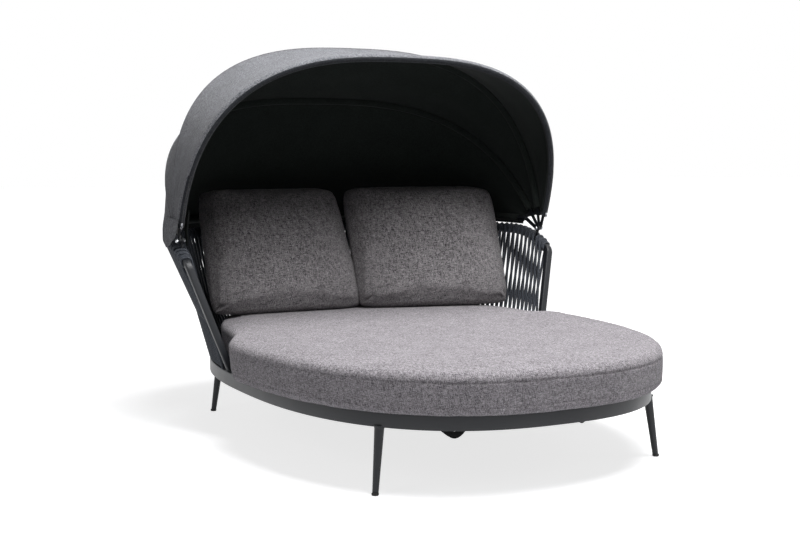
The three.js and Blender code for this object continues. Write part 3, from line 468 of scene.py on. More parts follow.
def ranged(tree, value, fromLow, fromHigh, low, high):
    inputs = {0: value, 1: fromLow, 2: fromHigh, 3: low, 4: high}
    return addNode(tree, "MapRange", None, inputs).outputs[0]


def addBump(tree, height, distance, strength, shader):
    inputs = {"Height": height, "Distance": distance, "Strength": strength}
    tree.links.new(addNode(tree, "Bump", None, inputs).outputs[0], shader.inputs["Normal"])


def clothMaterial(name, look):
    # Woven cloth on the piece's own UVs, which are in metres along its threads
    material, tree, shader = newMaterial(name, {
        "Sheen Weight": look["sheen"], "Sheen Roughness": 0.5, "Specular IOR Level": 0.2,
        "Sheen Tint": look["sheenTint"],
    })
    place = addNode(tree, "TexCoord").outputs["UV"]
    weave = useGroup(tree, yarnWeave, {
        "Place": place, "Thread": look["thread"], "Slub": look["slub"], "Cloud": look["cloud"],
    })
    tone = ranged(tree, weave["Tone"], look["from"], look["to"], 0.0, 1.0)
    colour = colourBetween(tree, tone, look["dark"], look["light"])
    # The colour is darkened where the weave lies low: painted shade in the hollows between the yarns
    shade = ranged(tree, weave["Height"], 0.3, 1.3, look["hollowShade"], 1.0)
    scaled = addNode(tree, "Mix", {"data_type": "RGBA", "blend_type": "MULTIPLY"}, {0: 1.0, 6: colour, 7: shade})
    tree.links.new(scaled.outputs[2], shader.inputs["Base Color"])
    tree.links.new(ranged(tree, weave["Tone"], 0.3, 0.7, 0.98, 0.86), shader.inputs["Roughness"])
    addBump(tree, weave["Height"], look["thread"] * 0.3, look["relief"], shader)
    return material


def coatMaterial(name, look):
    material, tree, shader = newMaterial(name, {"Metallic": look["metallic"], "Specular IOR Level": look["specular"]})
    place = addNode(tree, "TexCoord").outputs["Object"]
    facing = addNode(tree, "NewGeometry").outputs["Normal"]
    coat = useGroup(tree, powderCoat, {"Place": place, "Facing": facing, "Peel": look["peel"], "Dust": look["dust"]})
    tree.links.new(colourBetween(tree, coat["Dust"], look["colour"], look["dustColour"]), shader.inputs["Base Color"])
    gloss = ranged(tree, coat["Gloss"], 0.25, 0.75, look["rough"] - 0.05, look["rough"] + 0.07)
    tree.links.new(gloss, shader.inputs["Roughness"])
    addBump(tree, coat["Height"], look["peelDepth"], 0.35, shader)
    return material


def ropeMaterial(look):
    material, tree, shader = newMaterial("rope", {
        "Sheen Weight": look["sheen"], "Sheen Roughness": 0.4, "Specular IOR Level": 0.35,
    })
    place = addNode(tree, "TexCoord").outputs["UV"]
    braid = useGroup(tree, ropeBraid, {
        "Place": place, "Pitch": look["pitch"], "Girth": look["girth"], "Yarns": look["yarns"],
    })
    # Dark to light by the braid's tone: fibre tone, with painted sheen on the raised yarns and painted shade in the
    # grooves
    tone = ranged(tree, braid["Tone"], 0.25, 0.95, 0.0, 1.0)
    tree.links.new(colourBetween(tree, tone, look["dark"], look["light"]), shader.inputs["Base Color"])
    tree.links.new(ranged(tree, braid["Height"], 0.0, 1.0, 0.8, 0.5), shader.inputs["Roughness"])
    addBump(tree, braid["Height"], look["depth"], 0.9, shader)
    return material


white = (1.0, 1.0, 1.0, 1.0)
padLook = {
    "thread": 0.0027, "slub": 0.17, "cloud": 0.08, "from": 0.35, "to": 0.67, "hollowShade": 0.60, "relief": 0.9,
    "dark": tint(64, 61, 65), "light": tint(190, 185, 190), "sheen": 0.10, "sheenTint": white,
}
# The pillows wear the mattress's cloth made darker: painted shade for the canopy that hangs over them
shadedPillowLook = dict(padLook, dark=tint(46, 44, 46), light=tint(160, 156, 158))
canopyLook = dict(
    padLook, thread=0.0024, dark=tint(50, 51, 54), light=tint(144, 145, 150), relief=0.6, hollowShade=0.7,
)
liningLook = dict(
    padLook, thread=0.0008, slub=0.05, cloud=0.12, dark=tint(20, 23, 22), light=tint(42, 48, 45),
    relief=0.25, hollowShade=0.8, sheen=0.05,
)
bandLook = dict(liningLook, dark=tint(24, 26, 29), light=tint(58, 60, 64), thread=0.0016, relief=0.4, sheen=0.1)
webbingLook = dict(liningLook, thread=0.0016, dark=tint(10, 10, 11), light=tint(34, 34, 35), relief=0.9)
deckLook = dict(liningLook, thread=0.0022, dark=tint(16, 17, 18), light=tint(48, 49, 51), relief=0.9)
padCloth, shadedPillowCloth, canopyCloth, liningCloth, bandCloth, webbingCloth, deckCloth = (
    clothMaterial(name, look) for name, look in (
        ("padCloth", padLook), ("shadedPillowCloth", shadedPillowLook), ("canopyCloth", canopyLook), ("liningCloth", liningLook),
        ("bandCloth", bandLook), ("webbing", webbingLook), ("deckCloth", deckLook),
    )
)
frameCoat = coatMaterial("powderCoatCharcoal", {
    "colour": tint(25, 27, 31), "dustColour": tint(110, 110, 109), "dust": 0.06, "metallic": 0.0,
    "specular": 0.35, "rough": 0.40, "peel": 700.0, "peelDepth": 0.0004,
})
boltSteel = coatMaterial("brushedSteel", {
    "colour": tint(190, 192, 196), "dustColour": tint(120, 118, 114), "dust": 0.25, "metallic": 1.0,
    "specular": 0.5, "rough": 0.28, "peel": 2500.0, "peelDepth": 0.00008,
})
glidePlastic = coatMaterial("glidePlastic", {
    "colour": tint(24, 24, 25), "dustColour": tint(130, 126, 120), "dust": 0.2, "metallic": 0.0,
    "specular": 0.4, "rough": 0.55, "peel": 1600.0, "peelDepth": 0.0003,
})
threadPlastic = coatMaterial("zipTeeth", {
    "colour": tint(26, 28, 32), "dustColour": tint(90, 90, 90), "dust": 0.1, "metallic": 0.0,
    "specular": 0.5, "rough": 0.42, "peel": 900.0, "peelDepth": 0.0001,
})
ropeCord = ropeMaterial({
    "dark": tint(13, 15, 19), "light": tint(62, 67, 76), "pitch": 0.0095, "girth": 0.0364, "yarns": 4.0,
    "depth": 0.0009, "sheen": 0.1,
})
print("materials made")

# Plan of the base
plan = {"half": 0.750, "front": 1.038, "rear": 1.000, "fullness": 2.53, "top": 0.280, "height": 0.054, "wall": 0.025}
seatGap = 0.0003  # between two pieces that touch
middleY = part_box("base_ring")[1].y - plan["rear"]  # the middle of the ring's plan, in the row frame


def planLine(inset, steps):
    # The ring's plan, deeper in front than behind, with its points at even lengths
    turn = np.linspace(0, 2 * np.pi, 8001)
    depth = np.where(np.sin(turn) < 0, plan["front"], plan["rear"]) - inset
    line = superellipse(turn, plan["half"] - inset, depth, plan["fullness"])
    return evenly(np.stack(line, axis=1), steps + 1)[:-1]


def planDepth(x, inset, depth):
    # How far from the plan's middle its outline lies at a width
    share = (np.abs(x) / (plan["half"] - inset)) ** plan["fullness"]
    return (depth - inset) * (1 - share) ** (1 / plan["fullness"])


def raised(line, z):
    return np.column_stack([line[:, 0], line[:, 1] + middleY, np.broadcast_to(z, len(line))])


# Base ring, legs, glides and deck
ringSettings = {"steps": 320, "edge": 0.0035}
halfWall = plan["wall"] / 2
ringLine = planLine(halfWall, ringSettings["steps"])
ringPath = raised(ringLine, plan["top"] - plan["height"] / 2)
ringSection = roundedSection(plan["wall"], plan["height"], ringSettings["edge"])
dress(makePiece("ringBand", sweep(ringPath, ringSection, loop=True), [frameCoat]), "frame", "base_ring")

legSettings = {
    "topX": 0.562, "splayX": 0.026, "splayY": 0.020, "topRadius": 0.017, "footRadius": 0.0105, "sides": 48,
    "rimDepth": 0.0012, "rimHeight": 0.0014, "taperLead": 0.010, "taperEnd": 0.012, "intoRing": 0.004,
    "filletHeight": 0.009, "filletReach": 0.0042, "filletPower": 0.8, "filletStart": 0.15,
    "glideRadius": 0.0125, "glideHeight": 0.009,
}
# The glide's side, as insets from its radius and heights: a rounded foot, a groove and a chamfered top
glideProfile = [
    (0.003, 0.0), (0.0012, 0.0006), (0.0, 0.0024), (0.0, 0.0052), (0.0006, 0.0058), (0.0006, 0.0062),
    (0.0, 0.0068), (0.0, 0.0078), (0.0008, 0.0088), (0.002, legSettings["glideHeight"]),
]


def legEnds(side, end):
    k = legSettings
    topY = end * planDepth(k["topX"], halfWall, plan["front"] if end < 0 else plan["rear"]) + middleY
    top = np.array([side * k["topX"], topY, plan["top"] - plan["height"]])
    return top, np.array([side * (k["topX"] + k["splayX"]), topY + end * k["splayY"], 0.0])


def legProfile(length, low):
    # Straight taper with a rounded lower rim, then a weld fillet that flares out under the ring
    k = legSettings
    runs = np.linspace(low + k["taperLead"], length - k["taperEnd"], 12)
    radius = lambda run: k["footRadius"] + (k["topRadius"] - k["footRadius"]) / length * run
    filletLow = length - k["filletHeight"]
    taper = [(radius(low) - k["rimDepth"], low), (radius(low), low + k["rimHeight"]), *zip(radius(runs), runs)]
    turn = np.linspace(k["filletStart"], np.pi / 2, 8)
    fillet = [*zip(radius(filletLow) + k["filletReach"] * (1 - np.cos(turn)),
                   filletLow + k["filletHeight"] * np.sin(turn) ** k["filletPower"])]
    return taper + fillet + [(fillet[-1][0], length + k["intoRing"])]


for endName, end in (("front", -1), ("rear", 1)):
    for sideName, side in (("left", -1), ("right", 1)):
        top, foot = legEnds(side, end)
        way = top - foot
        length = np.linalg.norm(way)
        profile = legProfile(length, legSettings["glideHeight"] / way[2] * length)
        place = f"{endName}_{sideName}"
        leg = makePiece(f"taperedLeg_{place}", lathe(profile, legSettings["sides"], foot, way), [frameCoat])
        dress(leg, "frame", f"leg_{place}")
        rim = [(legSettings["glideRadius"] - inset, height) for inset, height in glideProfile]
        glide = makePiece(f"footGlide_{place}", lathe(rim, legSettings["sides"], foot), [glidePlastic])
        dress(glide, "frame", f"glide_{place}")

deckBars = [f"deck_bar_{k}" for k in range(1, 6)]
for name in ("lower_rail", "post_gusset_left", "post_gusset_right", "pivot_bracket_left", "pivot_bracket_right",
             "front_bow", "middle_bow", "rear_middle_bow", "rear_bow", *deckBars):
    nodes[name].data.materials.clear()
    nodes[name].data.materials.append(frameCoat)
print("base made")


def discGrid(line, count):
    # A disc as a square grid: a grid point takes the plan's outline at its own bearing round the square,
    # shrunk by its distance from the middle
    side = np.linspace(-1, 1, count)
    gridX, gridY = np.meshgrid(side, side, indexing="ij")
    reach = np.maximum(np.abs(gridX), np.abs(gridY))
    safe = np.maximum(reach, 1e-9)
    edgeX, edgeY = gridX / safe, gridY / safe
    # Length round the square from the middle of its right side, as a share of the whole way
    right, left, top, bottom = (np.isclose(edge, 1.0) for edge in (edgeX, -edgeX, edgeY, -edgeY))
    around = np.select([right & ~bottom, top, left, bottom, right], [edgeY, 2 - edgeX, 4 - edgeY, 6 + edgeX, edgeY])
    run = around / 8 % 1.0 * len(line)
    low = np.floor(run).astype(int) % len(line)
    share = (run - np.floor(run))[..., None]
    outline = line[low] * (1 - share) + line[(low + 1) % len(line)] * share
    return outline * reach[..., None], reach


deckSettings = {
    "drop": 0.0012, "thickness": 0.0026, "count": 72, "sag": 0.0008, "flat": (1.45, 1.99), "area": 2.5,
}
deckLine = planLine(plan["wall"] + seatGap, 400)
deckPlan, deckReach = discGrid(deckLine, deckSettings["count"])
deckTop = plan["top"] - deckSettings["drop"] - deckSettings["sag"] * (1 - deckReach**2)
deckOuter = np.dstack([deckPlan[..., 0], deckPlan[..., 1] + middleY, deckTop])
deckInner = deckOuter - [0, 0, deckSettings["thickness"]]
deckUv = np.linspace(0, 1, deckSettings["count"])
deckPart = shell(deckOuter, deckInner, deckUv * 2 * plan["half"], deckUv * 2 * plan["front"])
deck = dress(makePiece("deckCloth", deckPart, [deckCloth]), "frame", "deck_sheet")

strapSettings = {
    "width": 0.024, "onEdge": 0.009, "thickness": 0.002, "edge": 0.0008, "inset": 0.046, "endShare": 1.25,
    "steps": 10,
    "places": [
        {"centre": -0.497, "halfSpan": 0.066, "depth": 0.084}, {"centre": 0.133, "halfSpan": 0.042, "depth": 0.066},
    ],
    "sag": [[-1, 0], [-0.5, 0.5], [0.05, 0.93], [0.36, 1], [0.7, 0.66], [1, 0]],
}
for number, place in enumerate(strapSettings["places"], 1):
    # A V of webbing: span and depth shares set the line, and the plan of the ring sets how far forward it hangs
    k = strapSettings
    shares = curveThrough([[-k["endShare"], 0], *k["sag"], [k["endShare"], 0]], k["steps"])
    x = place["centre"] * plan["half"] + shares[:, 0] * place["halfSpan"]
    y = -planDepth(x, k["inset"], plan["front"])
    topZ = plan["top"] - deckSettings["drop"] - deckSettings["thickness"] - seatGap - k["thickness"] / 2
    z = topZ - np.clip(shares[:, 1], 0, None) * (topZ - plan["top"] + place["depth"])
    path = np.column_stack([x, y + middleY, z])
    section = roundedSection(k["width"], k["thickness"], k["edge"], 2)
    # It lies flat under the deck, where it is sewn, and turns on edge where it hangs
    twist = np.pi / 2 * smoothStep(shares[:, 1], 0.02, 0.6)[:, None]
    level = unit(np.cross(up, np.gradient(path, axis=0)))
    path[:, 2] += k["onEdge"] * np.sin(twist[:, 0])
    part = sweep(path, section, sideways=level * np.cos(twist) + up * np.sin(twist))
    strap = dress(makePiece(f"tieLoop_{number}", part, [webbingCloth]), "frame", f"tie_strap_{number}")
print("deck and straps made")

# Backrest: posts, rails and rope
rest = {
    "footX": 0.724, "footY": 0.188, "halfWidth": 0.850, "reach": 0.728, "fullness": 2.2, "height": 0.768,
    "drop": 0.063, "dropLength": 0.240, "lead": 0.050, "lean": math.radians(15.5), "pivotY": 0.388, "pivotZ": 0.780,
}
pivotPoint = np.array([0.0, rest["pivotY"] + middleY, rest["pivotZ"]])
shiftRow = np.array([0.0, middleY, 0.0])
leanCos, leanSin = math.cos(rest["lean"]), math.sin(rest["lean"])


def leaned(point, out, wide, high):
    # A point moved outwards and up in the plane square to the backrest, which leans outwards
    return point + (out * leanCos - up * leanSin) * wide + (up * leanCos + out * leanSin) * high


def railHeight(y):
    share = np.clip((y - (rest["pivotY"] - rest["lead"])) / rest["dropLength"], 0, 1)
    return rest["height"] - rest["drop"] * (1 - share) ** 2


def rightRail(steps):
    # The right half of the top rail in the ring's own frame: straight past the pivots, then a superellipse
    curve = superellipse(np.linspace(0, np.pi / 2, steps + 1), rest["halfWidth"], rest["reach"], rest["fullness"])
    x = np.concatenate([np.full(3, rest["halfWidth"]), curve[0]])
    y = rest["pivotY"] + np.concatenate([rest["lead"] * np.array([-1, -2 / 3, -1 / 3]), curve[1]])
    x[-1] = 0.0
    return np.stack([x, y, railHeight(y)], axis=1)


def bothSides(line):
    return np.concatenate([line, line[-2::-1] * [-1, 1, 1]])


railLine = bothSides(rightRail(90)) + shiftRow
railSettings = {"size": (0.028, 0.024, 0.008), "steps": 24}
railSection = rolled(roundedSection(*railSettings["size"], 5), rest["lean"])
dress(makePiece("topRailTube", sweep(railLine, railSection), [frameCoat]), "frame", "top_rail")

postSettings = {
    "size": (0.030, 0.028, 0.007), "footLift": 0.0004, "bendLead": 0.040, "bendReach": 0.020,
    "beadSize": (0.0312, 0.0302, 0.0075), "beadRadius": 0.0019, "beadShift": (0.001, 0.0003, 0.0012),
}
railHalf = rightRail(railSettings["steps"])
railEnd = railHalf[0]
railWay = unit(railHalf[1] - railHalf[0])
bendCorner = railEnd - railWay * postSettings["bendLead"]
postFoot = np.array([rest["footX"], rest["footY"], plan["top"]])
postWay = unit(bendCorner - postFoot)
bendStart, bendEnd = (bendCorner + way * postSettings["bendReach"] for way in (-postWay, railWay))
bend = midwayBend(bendStart, bendCorner, bendEnd, np.linspace(0, 1, 20)[:, None])
postLine = np.concatenate([[postFoot + postWay * seatGap], bend, [railEnd - railWay * seatGap]]) + shiftRow
postSection = roundedSection(*postSettings["size"], 6)
postPart = sweep(postLine, postSection, sideways=np.array([leanCos, 0, -leanSin]))
# The foot is cut level with the ring's top, and a bead of weld runs round it
postPart[0][:len(postSection), 2] = plan["top"] + postSettings["footLift"]
beadSection = roundedSection(*postSettings["beadSize"], 6)
beadLine = np.column_stack([beadSection, np.zeros(len(beadSection))]) + postFoot + shiftRow
beadPart = sweep(beadLine + postSettings["beadShift"], circle(postSettings["beadRadius"], 10), loop=True)
makePair("armPost", joined([postPart, beadPart]), [frameCoat], "post")
print("posts and rail made")

ropeSettings = {
    "diameter": 0.0116, "sides": 12, "loops": 11, "panels": 4, "bracketShare": 1.58,
    "topWide": 0.0235, "topLow": 0.011, "topNarrow": 0.0145, "topHigh": 0.0206, "footWide": 0.015, "footLow": 0.0132,
    "lowerInset": 0.014, "lowerLead": 0.042, "lowerRise": 0.025, "cornerCut": 0.010, "cornerSteps": 5,
    "strandSteps": 6, "wander": 0.0004,
}


def rightLower():
    startY = rest["footY"] + ropeSettings["lowerLead"]
    depth = plan["rear"] - ropeSettings["lowerInset"]
    startTurn = math.asin((startY / depth) ** (plan["fullness"] / 2))
    turn = np.linspace(startTurn, np.pi / 2, railSettings["steps"] + 1)
    x, y = superellipse(turn, plan["half"] - ropeSettings["lowerInset"], depth, plan["fullness"])
    x[-1] = 0.0
    return np.stack([x, y, np.full(len(x), plan["top"] + ropeSettings["lowerRise"])], axis=1)


def outwards(line):
    whole = np.concatenate([line, line[-2:-1] * [-1, 1, 1]])
    step = np.concatenate([whole[1:2] - whole[:1], whole[2:] - whole[:-2]])
    return unit(np.column_stack([step[:, 1], -step[:, 0], np.zeros(len(step))]))


lowerHalf = rightLower()
railOut = outwards(railHalf)
railRun, lowerRun = measured(railHalf), measured(lowerHalf)
loopCount = ropeSettings["loops"] * ropeSettings["panels"]
railPitch = (railRun[-1] - railRun[3]) / (loopCount - ropeSettings["bracketShare"])
railStart = railRun[3] - ropeSettings["bracketShare"] * railPitch
lowerPitch = (lowerRun[-1] - ropeSettings["diameter"] / 2) / loopCount


def ropeCorners(panel):
    # A figure of eight round both rails: six corners in each loop, two under the lower rail and four over
    # the top rail, set off the rails' centre lines in the plane that leans with the backrest
    loop = panel * ropeSettings["loops"] + np.arange(ropeSettings["loops"])
    rise = railStart + loop * railPitch
    fall = rise + railPitch / 2
    footRise = ropeSettings["diameter"] / 2 + loop * lowerPitch
    footFall = footRise + lowerPitch / 2
    risePoint, fallPoint = (pointsAt(railHalf, railRun, at) for at in (rise, fall))
    riseOut, fallOut = (unit(pointsAt(railOut, railRun, at)) for at in (rise, fall))
    footRisePoint, footFallPoint = (pointsAt(lowerHalf, lowerRun, at) for at in (footRise, footFall))
    k = ropeSettings
    corners = [
        leaned(footRisePoint, riseOut, k["footWide"], -k["footLow"]),
        leaned(risePoint, riseOut, -k["topWide"], k["topLow"]),
        leaned(risePoint, riseOut, -k["topNarrow"], k["topHigh"]),
        leaned(fallPoint, fallOut, k["topNarrow"], k["topHigh"]),
        leaned(fallPoint, fallOut, k["topWide"], k["topLow"]),
        leaned(footFallPoint, fallOut, -k["footWide"], -k["footLow"]),
    ]
    alongRail = np.cross(up, riseOut)
    return np.stack(corners, axis=1).reshape(-1, 3), np.repeat(alongRail, 6, axis=0)


def ropeLine(corners, alongRail, seed):
    # Each corner is rounded by a parabola between two points a little before and after it; the straight
    # strands between them wander a little, as hand-wound rope does
    k = ropeSettings
    before = np.concatenate([corners[:1] * 2 - corners[1:2], corners[:-1]])
    after = np.concatenate([corners[1:], corners[-1:] * 2 - corners[-2:-1]])
    cut = lambda other: np.minimum(k["cornerCut"], 0.45 * np.linalg.norm(other - corners, axis=1))[:, None]
    entry = corners + unit(before - corners) * cut(before)
    leave = corners + unit(after - corners) * cut(after)
    t = np.linspace(0, 1, k["cornerSteps"])[None, :, None]
    arcs = midwayBend(entry[:, None], corners[:, None], leave[:, None], t)
    s = np.linspace(0, 1, k["strandSteps"] + 2)[None, 1:-1, None]
    strands = leave[:-1, None] * (1 - s) + entry[1:, None] * s
    wander = np.random.default_rng(seed).uniform(-1, 1, (len(corners) - 1, 1, 1)) * k["wander"]
    strands = strands + wander * np.sin(np.pi * s) * alongRail[:-1, None]
    strands = np.concatenate([strands, np.repeat(leave[-1:, None], k["strandSteps"], axis=1)])
    line = np.concatenate([arcs, strands], axis=1)
    ways = np.broadcast_to(alongRail[:, None], line.shape)
    line, ways = line.reshape(-1, 3), ways.reshape(-1, 3)
    last = len(line) - k["strandSteps"]
    line, ways = line[:last], ways[:last]
    keep = np.concatenate([[True], np.linalg.norm(np.diff(line, axis=0), axis=1) > 1e-5])
    return line[keep], ways[keep]


for panel in range(ropeSettings["panels"]):
    line, ways = ropeLine(*ropeCorners(panel), seed=11 + panel)
    part = sweep(line + shiftRow, circle(ropeSettings["diameter"] / 2, ropeSettings["sides"]), sideways=ways)
    number = panel + 1
    makePair(f"ropeWinding_{number}", part, [ropeCord], f"rope_panel_{number}", smoothAngle=80)

# Short loops fill the rail between the strands: each goes over the rail beside a strand, parallel to it, and
# back under the rail to where it began. They leave room for the pivot bracket
wrapSettings = {
    "radius": 0.0045, "sides": 8, "steps": 26, "between": 2, "squareness": 3.2, "bracketRoom": 0.0112,
    "lead": 0.026, "postRuns": [[-0.036], [-0.001]], "endRoom": 0.002,
    "railHalf": (0.0142, 0.0122), "postHalf": (0.0152, 0.0142),
}
k = wrapSettings
wrapLine = np.concatenate([railEnd + railWay * k["postRuns"], railHalf])
wrapOut = np.concatenate([np.repeat(railOut[:1], 2, axis=0), railOut])
wrapRun = measured(wrapLine)
railZero = np.linalg.norm(wrapLine[2] - wrapLine[0])
wrapPitch = railPitch / (k["between"] + 1)
strandRuns = railStart + np.arange(loopCount) * railPitch
starts = (strandRuns[:, None] + np.arange(1, k["between"] + 1) * wrapPitch).ravel()
before = railStart - np.arange(1, 4) * wrapPitch
starts = np.concatenate([before[before > -k["lead"]][::-1], starts])
clearOfBracket = np.abs(starts + railPitch / 4 - railRun[3]) > k["bracketRoom"]
starts = starts[clearOfBracket & (starts + railPitch / 2 < railRun[-1] - k["endRoom"])]
phase = np.arange(k["steps"]) / k["steps"] * 2 * np.pi
runs = starts[:, None] + railPitch / 4 * (1 - np.cos(phase))[None]
halfWide, halfHigh = (
    np.where((starts < 0)[:, None], onPost, onRail) + k["radius"]
    for onPost, onRail in zip(k["postHalf"], k["railHalf"])
)
wide = (-halfWide * signedPower(np.cos(phase), 2 / k["squareness"])).ravel()[:, None]
high = (halfHigh * signedPower(np.sin(phase), 2 / k["squareness"])).ravel()[:, None]
at = (runs + railZero).ravel()
loops = leaned(pointsAt(wrapLine, wrapRun, at), unit(pointsAt(wrapOut, wrapRun, at)), wide, high)
wraps = joined([
    sweep(loop, circle(k["radius"], k["sides"]), loop=True, sideways=unit(loop - loop.mean(axis=0)))
    for loop in loops.reshape(len(starts), -1, 3) + shiftRow
])
makePair("railWraps", wraps, [ropeCord], smoothAngle=80)
print("rope wound,", len(starts), "loops round each half of the rail between the strands")

# Pivot bolts: a low head inside, and a hexagonal cap nut with a dome outside
boltSettings = {
    "sides": 48, "shank": 0.005, "headHeight": 0.005, "nutHeight": 0.010, "nutHalf": 0.0078, "domeRadius": 0.0073,
    "domeBase": 0.0052, "domeHeight": 0.0048, "domeOpen": 0.08,
    "nutHeights": [0.0001, 0.0005, 0.0048, 0.0054], "nutShares": [0.93, 1, 1, 0.9],
}
k = boltSettings
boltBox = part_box("pivot_bolt_right")
boltInner, shankOut = boltBox[0].x, boltBox[1].x - k["nutHeight"]
shankIn = boltInner + k["headHeight"]
boltBase = np.array([0.0, pivotPoint[1], pivotPoint[2]])
headLine = [
    (0.0062, boltInner), (0.0078, boltInner + 0.0006), (0.0088, boltInner + 0.0022), (0.009, shankIn - 0.0008),
    (0.0086, shankIn), (k["shank"], shankIn), (k["shank"], shankOut + 0.001),
]
domeTurn = np.linspace(0, math.pi / 2 - k["domeOpen"], 9)
domeLine = np.column_stack([
    k["domeRadius"] * np.cos(domeTurn), shankOut + k["domeBase"] + k["domeHeight"] * np.sin(domeTurn),
])
# A hexagon in polar form: half its width over the cosine of the angle from the middle of the nearest flat
hexTurn = np.arange(k["sides"]) / k["sides"] * 2 * np.pi
hexReach = k["nutHalf"] / np.cos((hexTurn + np.pi / 6) % (np.pi / 3) - np.pi / 6)
hexSection = hexReach[:, None] * circle(1.0, k["sides"])
hexPath = boltBase + np.outer(shankOut + np.array(k["nutHeights"]), across)
boltPart = joined([
    lathe(headLine, k["sides"], boltBase, across),
    sweep(hexPath, hexSection, sideways=up, along=across, scale=k["nutShares"]),
    lathe(domeLine, k["sides"], boltBase, across),
])
makePair("pivotBolt", boltPart, [boltSteel], "pivot_bolt", smoothAngle=30)
print("bolts made")

# Canopy
bows = {
    "front": {"half": 0.862, "reach": 0.776, "angle": 20.5, "lift": 0.0},
    "middle": {"half": 0.857, "reach": 0.802, "angle": -13.4, "lift": 0.0},
    "rearMiddle": {"half": 0.852, "reach": 0.780, "angle": -42.4, "lift": 0.0},
    "rear": {"half": 0.830, "reach": 0.770, "angle": -90.0, "lift": 0.041},
}
canopy = {
    "fullness": 2.8, "tube": 0.0095, "gap": 0.0036, "thickness": 0.003, "hem": 0.058, "rearStart": 0.100,
    "sag": 0.014, "seamGap": 0.0004, "across": 150, "sleeveStep": 10, "hemWidth": 0.014, "wrinkle": 0.0022,
    "slack": 0.055, "waves": ((3, 1.0), (5, 0.55), (8, 0.3)), "drift": 3, "slant": 9,
    "slowAlong": 4.2, "slowSlant": 7, "slowAcross": 3.3, "slowShare": 0.5, "slowTurn": 6, "seamFade": 0.7,
}
clothNear = canopy["tube"] + canopy["gap"]
bowBodies = {
    "front": "front_bow_body", "middle": "middle_bow_body", "rearMiddle": "rear_middle_bow_body", "rear": "frame",
}


def bowShares(count):
    # Shares from hem to hem whose places lie at even lengths along the middle bow
    dense = np.linspace(0, 1, 2001)
    run = measured(clothLine(bows["middle"], dense, 0.0))
    return np.interp(np.linspace(0, run[-1], count), run, dense)


def clothLine(bow, shares, distance, turn=0.0):
    # The line that cloth takes over a bow. The bow is a superellipse in its own plane; distance leads off its
    # tube square to it, turned about the tube from the crest towards the front; the plane leans about the pivots
    angleUp = math.radians(bow["angle"])
    hem = canopy["rearStart"] if bow["lift"] else canopy["hem"] / math.cos(angleUp)
    start = math.asin((hem / bow["reach"]) ** (canopy["fullness"] / 2))
    angle = np.pi - start - shares * (np.pi - 2 * start)
    x, v = superellipse(angle, bow["half"], bow["reach"], canopy["fullness"])
    slopeX = signedPower(x / bow["half"], canopy["fullness"] - 1) / bow["half"]
    slopeV = (v / bow["reach"]) ** (canopy["fullness"] - 1) / bow["reach"]
    crest = unit(np.stack([slopeX, np.zeros_like(x), slopeV], axis=-1))
    distance, turn = np.asarray(distance)[..., None], np.asarray(turn)[..., None]
    local = np.stack([x, np.full_like(x, -bow["lift"]), v], axis=-1) + crest * distance * np.cos(turn)
    local = local - np.array([0, 1, 0]) * distance * np.sin(turn)
    c, s = math.cos(angleUp), math.sin(angleUp)
    y, z = local[..., 1] * c - local[..., 2] * s, local[..., 1] * s + local[..., 2] * c
    return np.stack([local[..., 0], y, z], axis=-1) + pivotPoint


shares = bowShares(canopy["across"])


def creases(spanShare, seed):
    # Soft folds in the cloth: short waves near the hems, where slack gathers, and long shallow ones above
    rng = np.random.default_rng(seed)
    c = canopy
    along, across = spanShare[:, None], shares[None]
    side = np.minimum(across, 1 - across)
    waves = np.zeros((len(spanShare), len(shares)))
    for count, size in c["waves"]:
        phase, drift = rng.uniform(0, 2 * np.pi, 2)
        waves += size * np.sin(count * np.pi * along + phase + drift * across * c["drift"] + c["slant"] * side)
    slow = np.sin(c["slowAlong"] * np.pi * along + c["slowSlant"] * across + rng.uniform(0, c["slowTurn"]))
    slow = slow * np.sin(c["slowAcross"] * np.pi * across + rng.uniform(0, c["slowTurn"]))
    folds = np.exp(-side / c["slack"]) * waves + c["slowShare"] * slow
    return c["wrinkle"] * folds * np.sin(np.pi * np.clip(along, 0, 1)) ** c["seamFade"]


def panelGrid(first, last, distance, steps, before, after, seed):
    # Cloth from one bow to the next: the straight way between the two lines, let in towards the pivots by a
    # half sine, with the turns of a sleeve round its first or last bow
    rows = [clothLine(bows[first], shares, distance, math.radians(turn)) for turn in before]
    a, b = clothLine(bows[first], shares, distance), clothLine(bows[last], shares, distance)
    span = np.linalg.norm(b - a, axis=1)
    crests = [clothLine(bows[name], np.array([0.5]), distance) for name in (first, last)]
    middle = np.linalg.norm(crests[0] - crests[1])
    edge = canopy["seamGap"] / 2 / middle
    k = edge + np.linspace(0, 1, steps + 1) * (1 - 2 * edge)
    point = a[None] * (1 - k)[:, None, None] + b[None] * k[:, None, None]
    depth = canopy["sag"] * np.sin(np.pi * k)[:, None] * np.minimum(span / middle, 1)[None]
    point = point + unit(pivotPoint - point) * (depth + creases(k, seed))[..., None]
    rows += [*point, *(clothLine(bows[last], shares, distance, -math.radians(turn)) for turn in after)]
    weights = np.concatenate([np.zeros(len(before)), np.linspace(0, 1, steps + 1), np.ones(len(after))])
    return np.stack(rows), weights


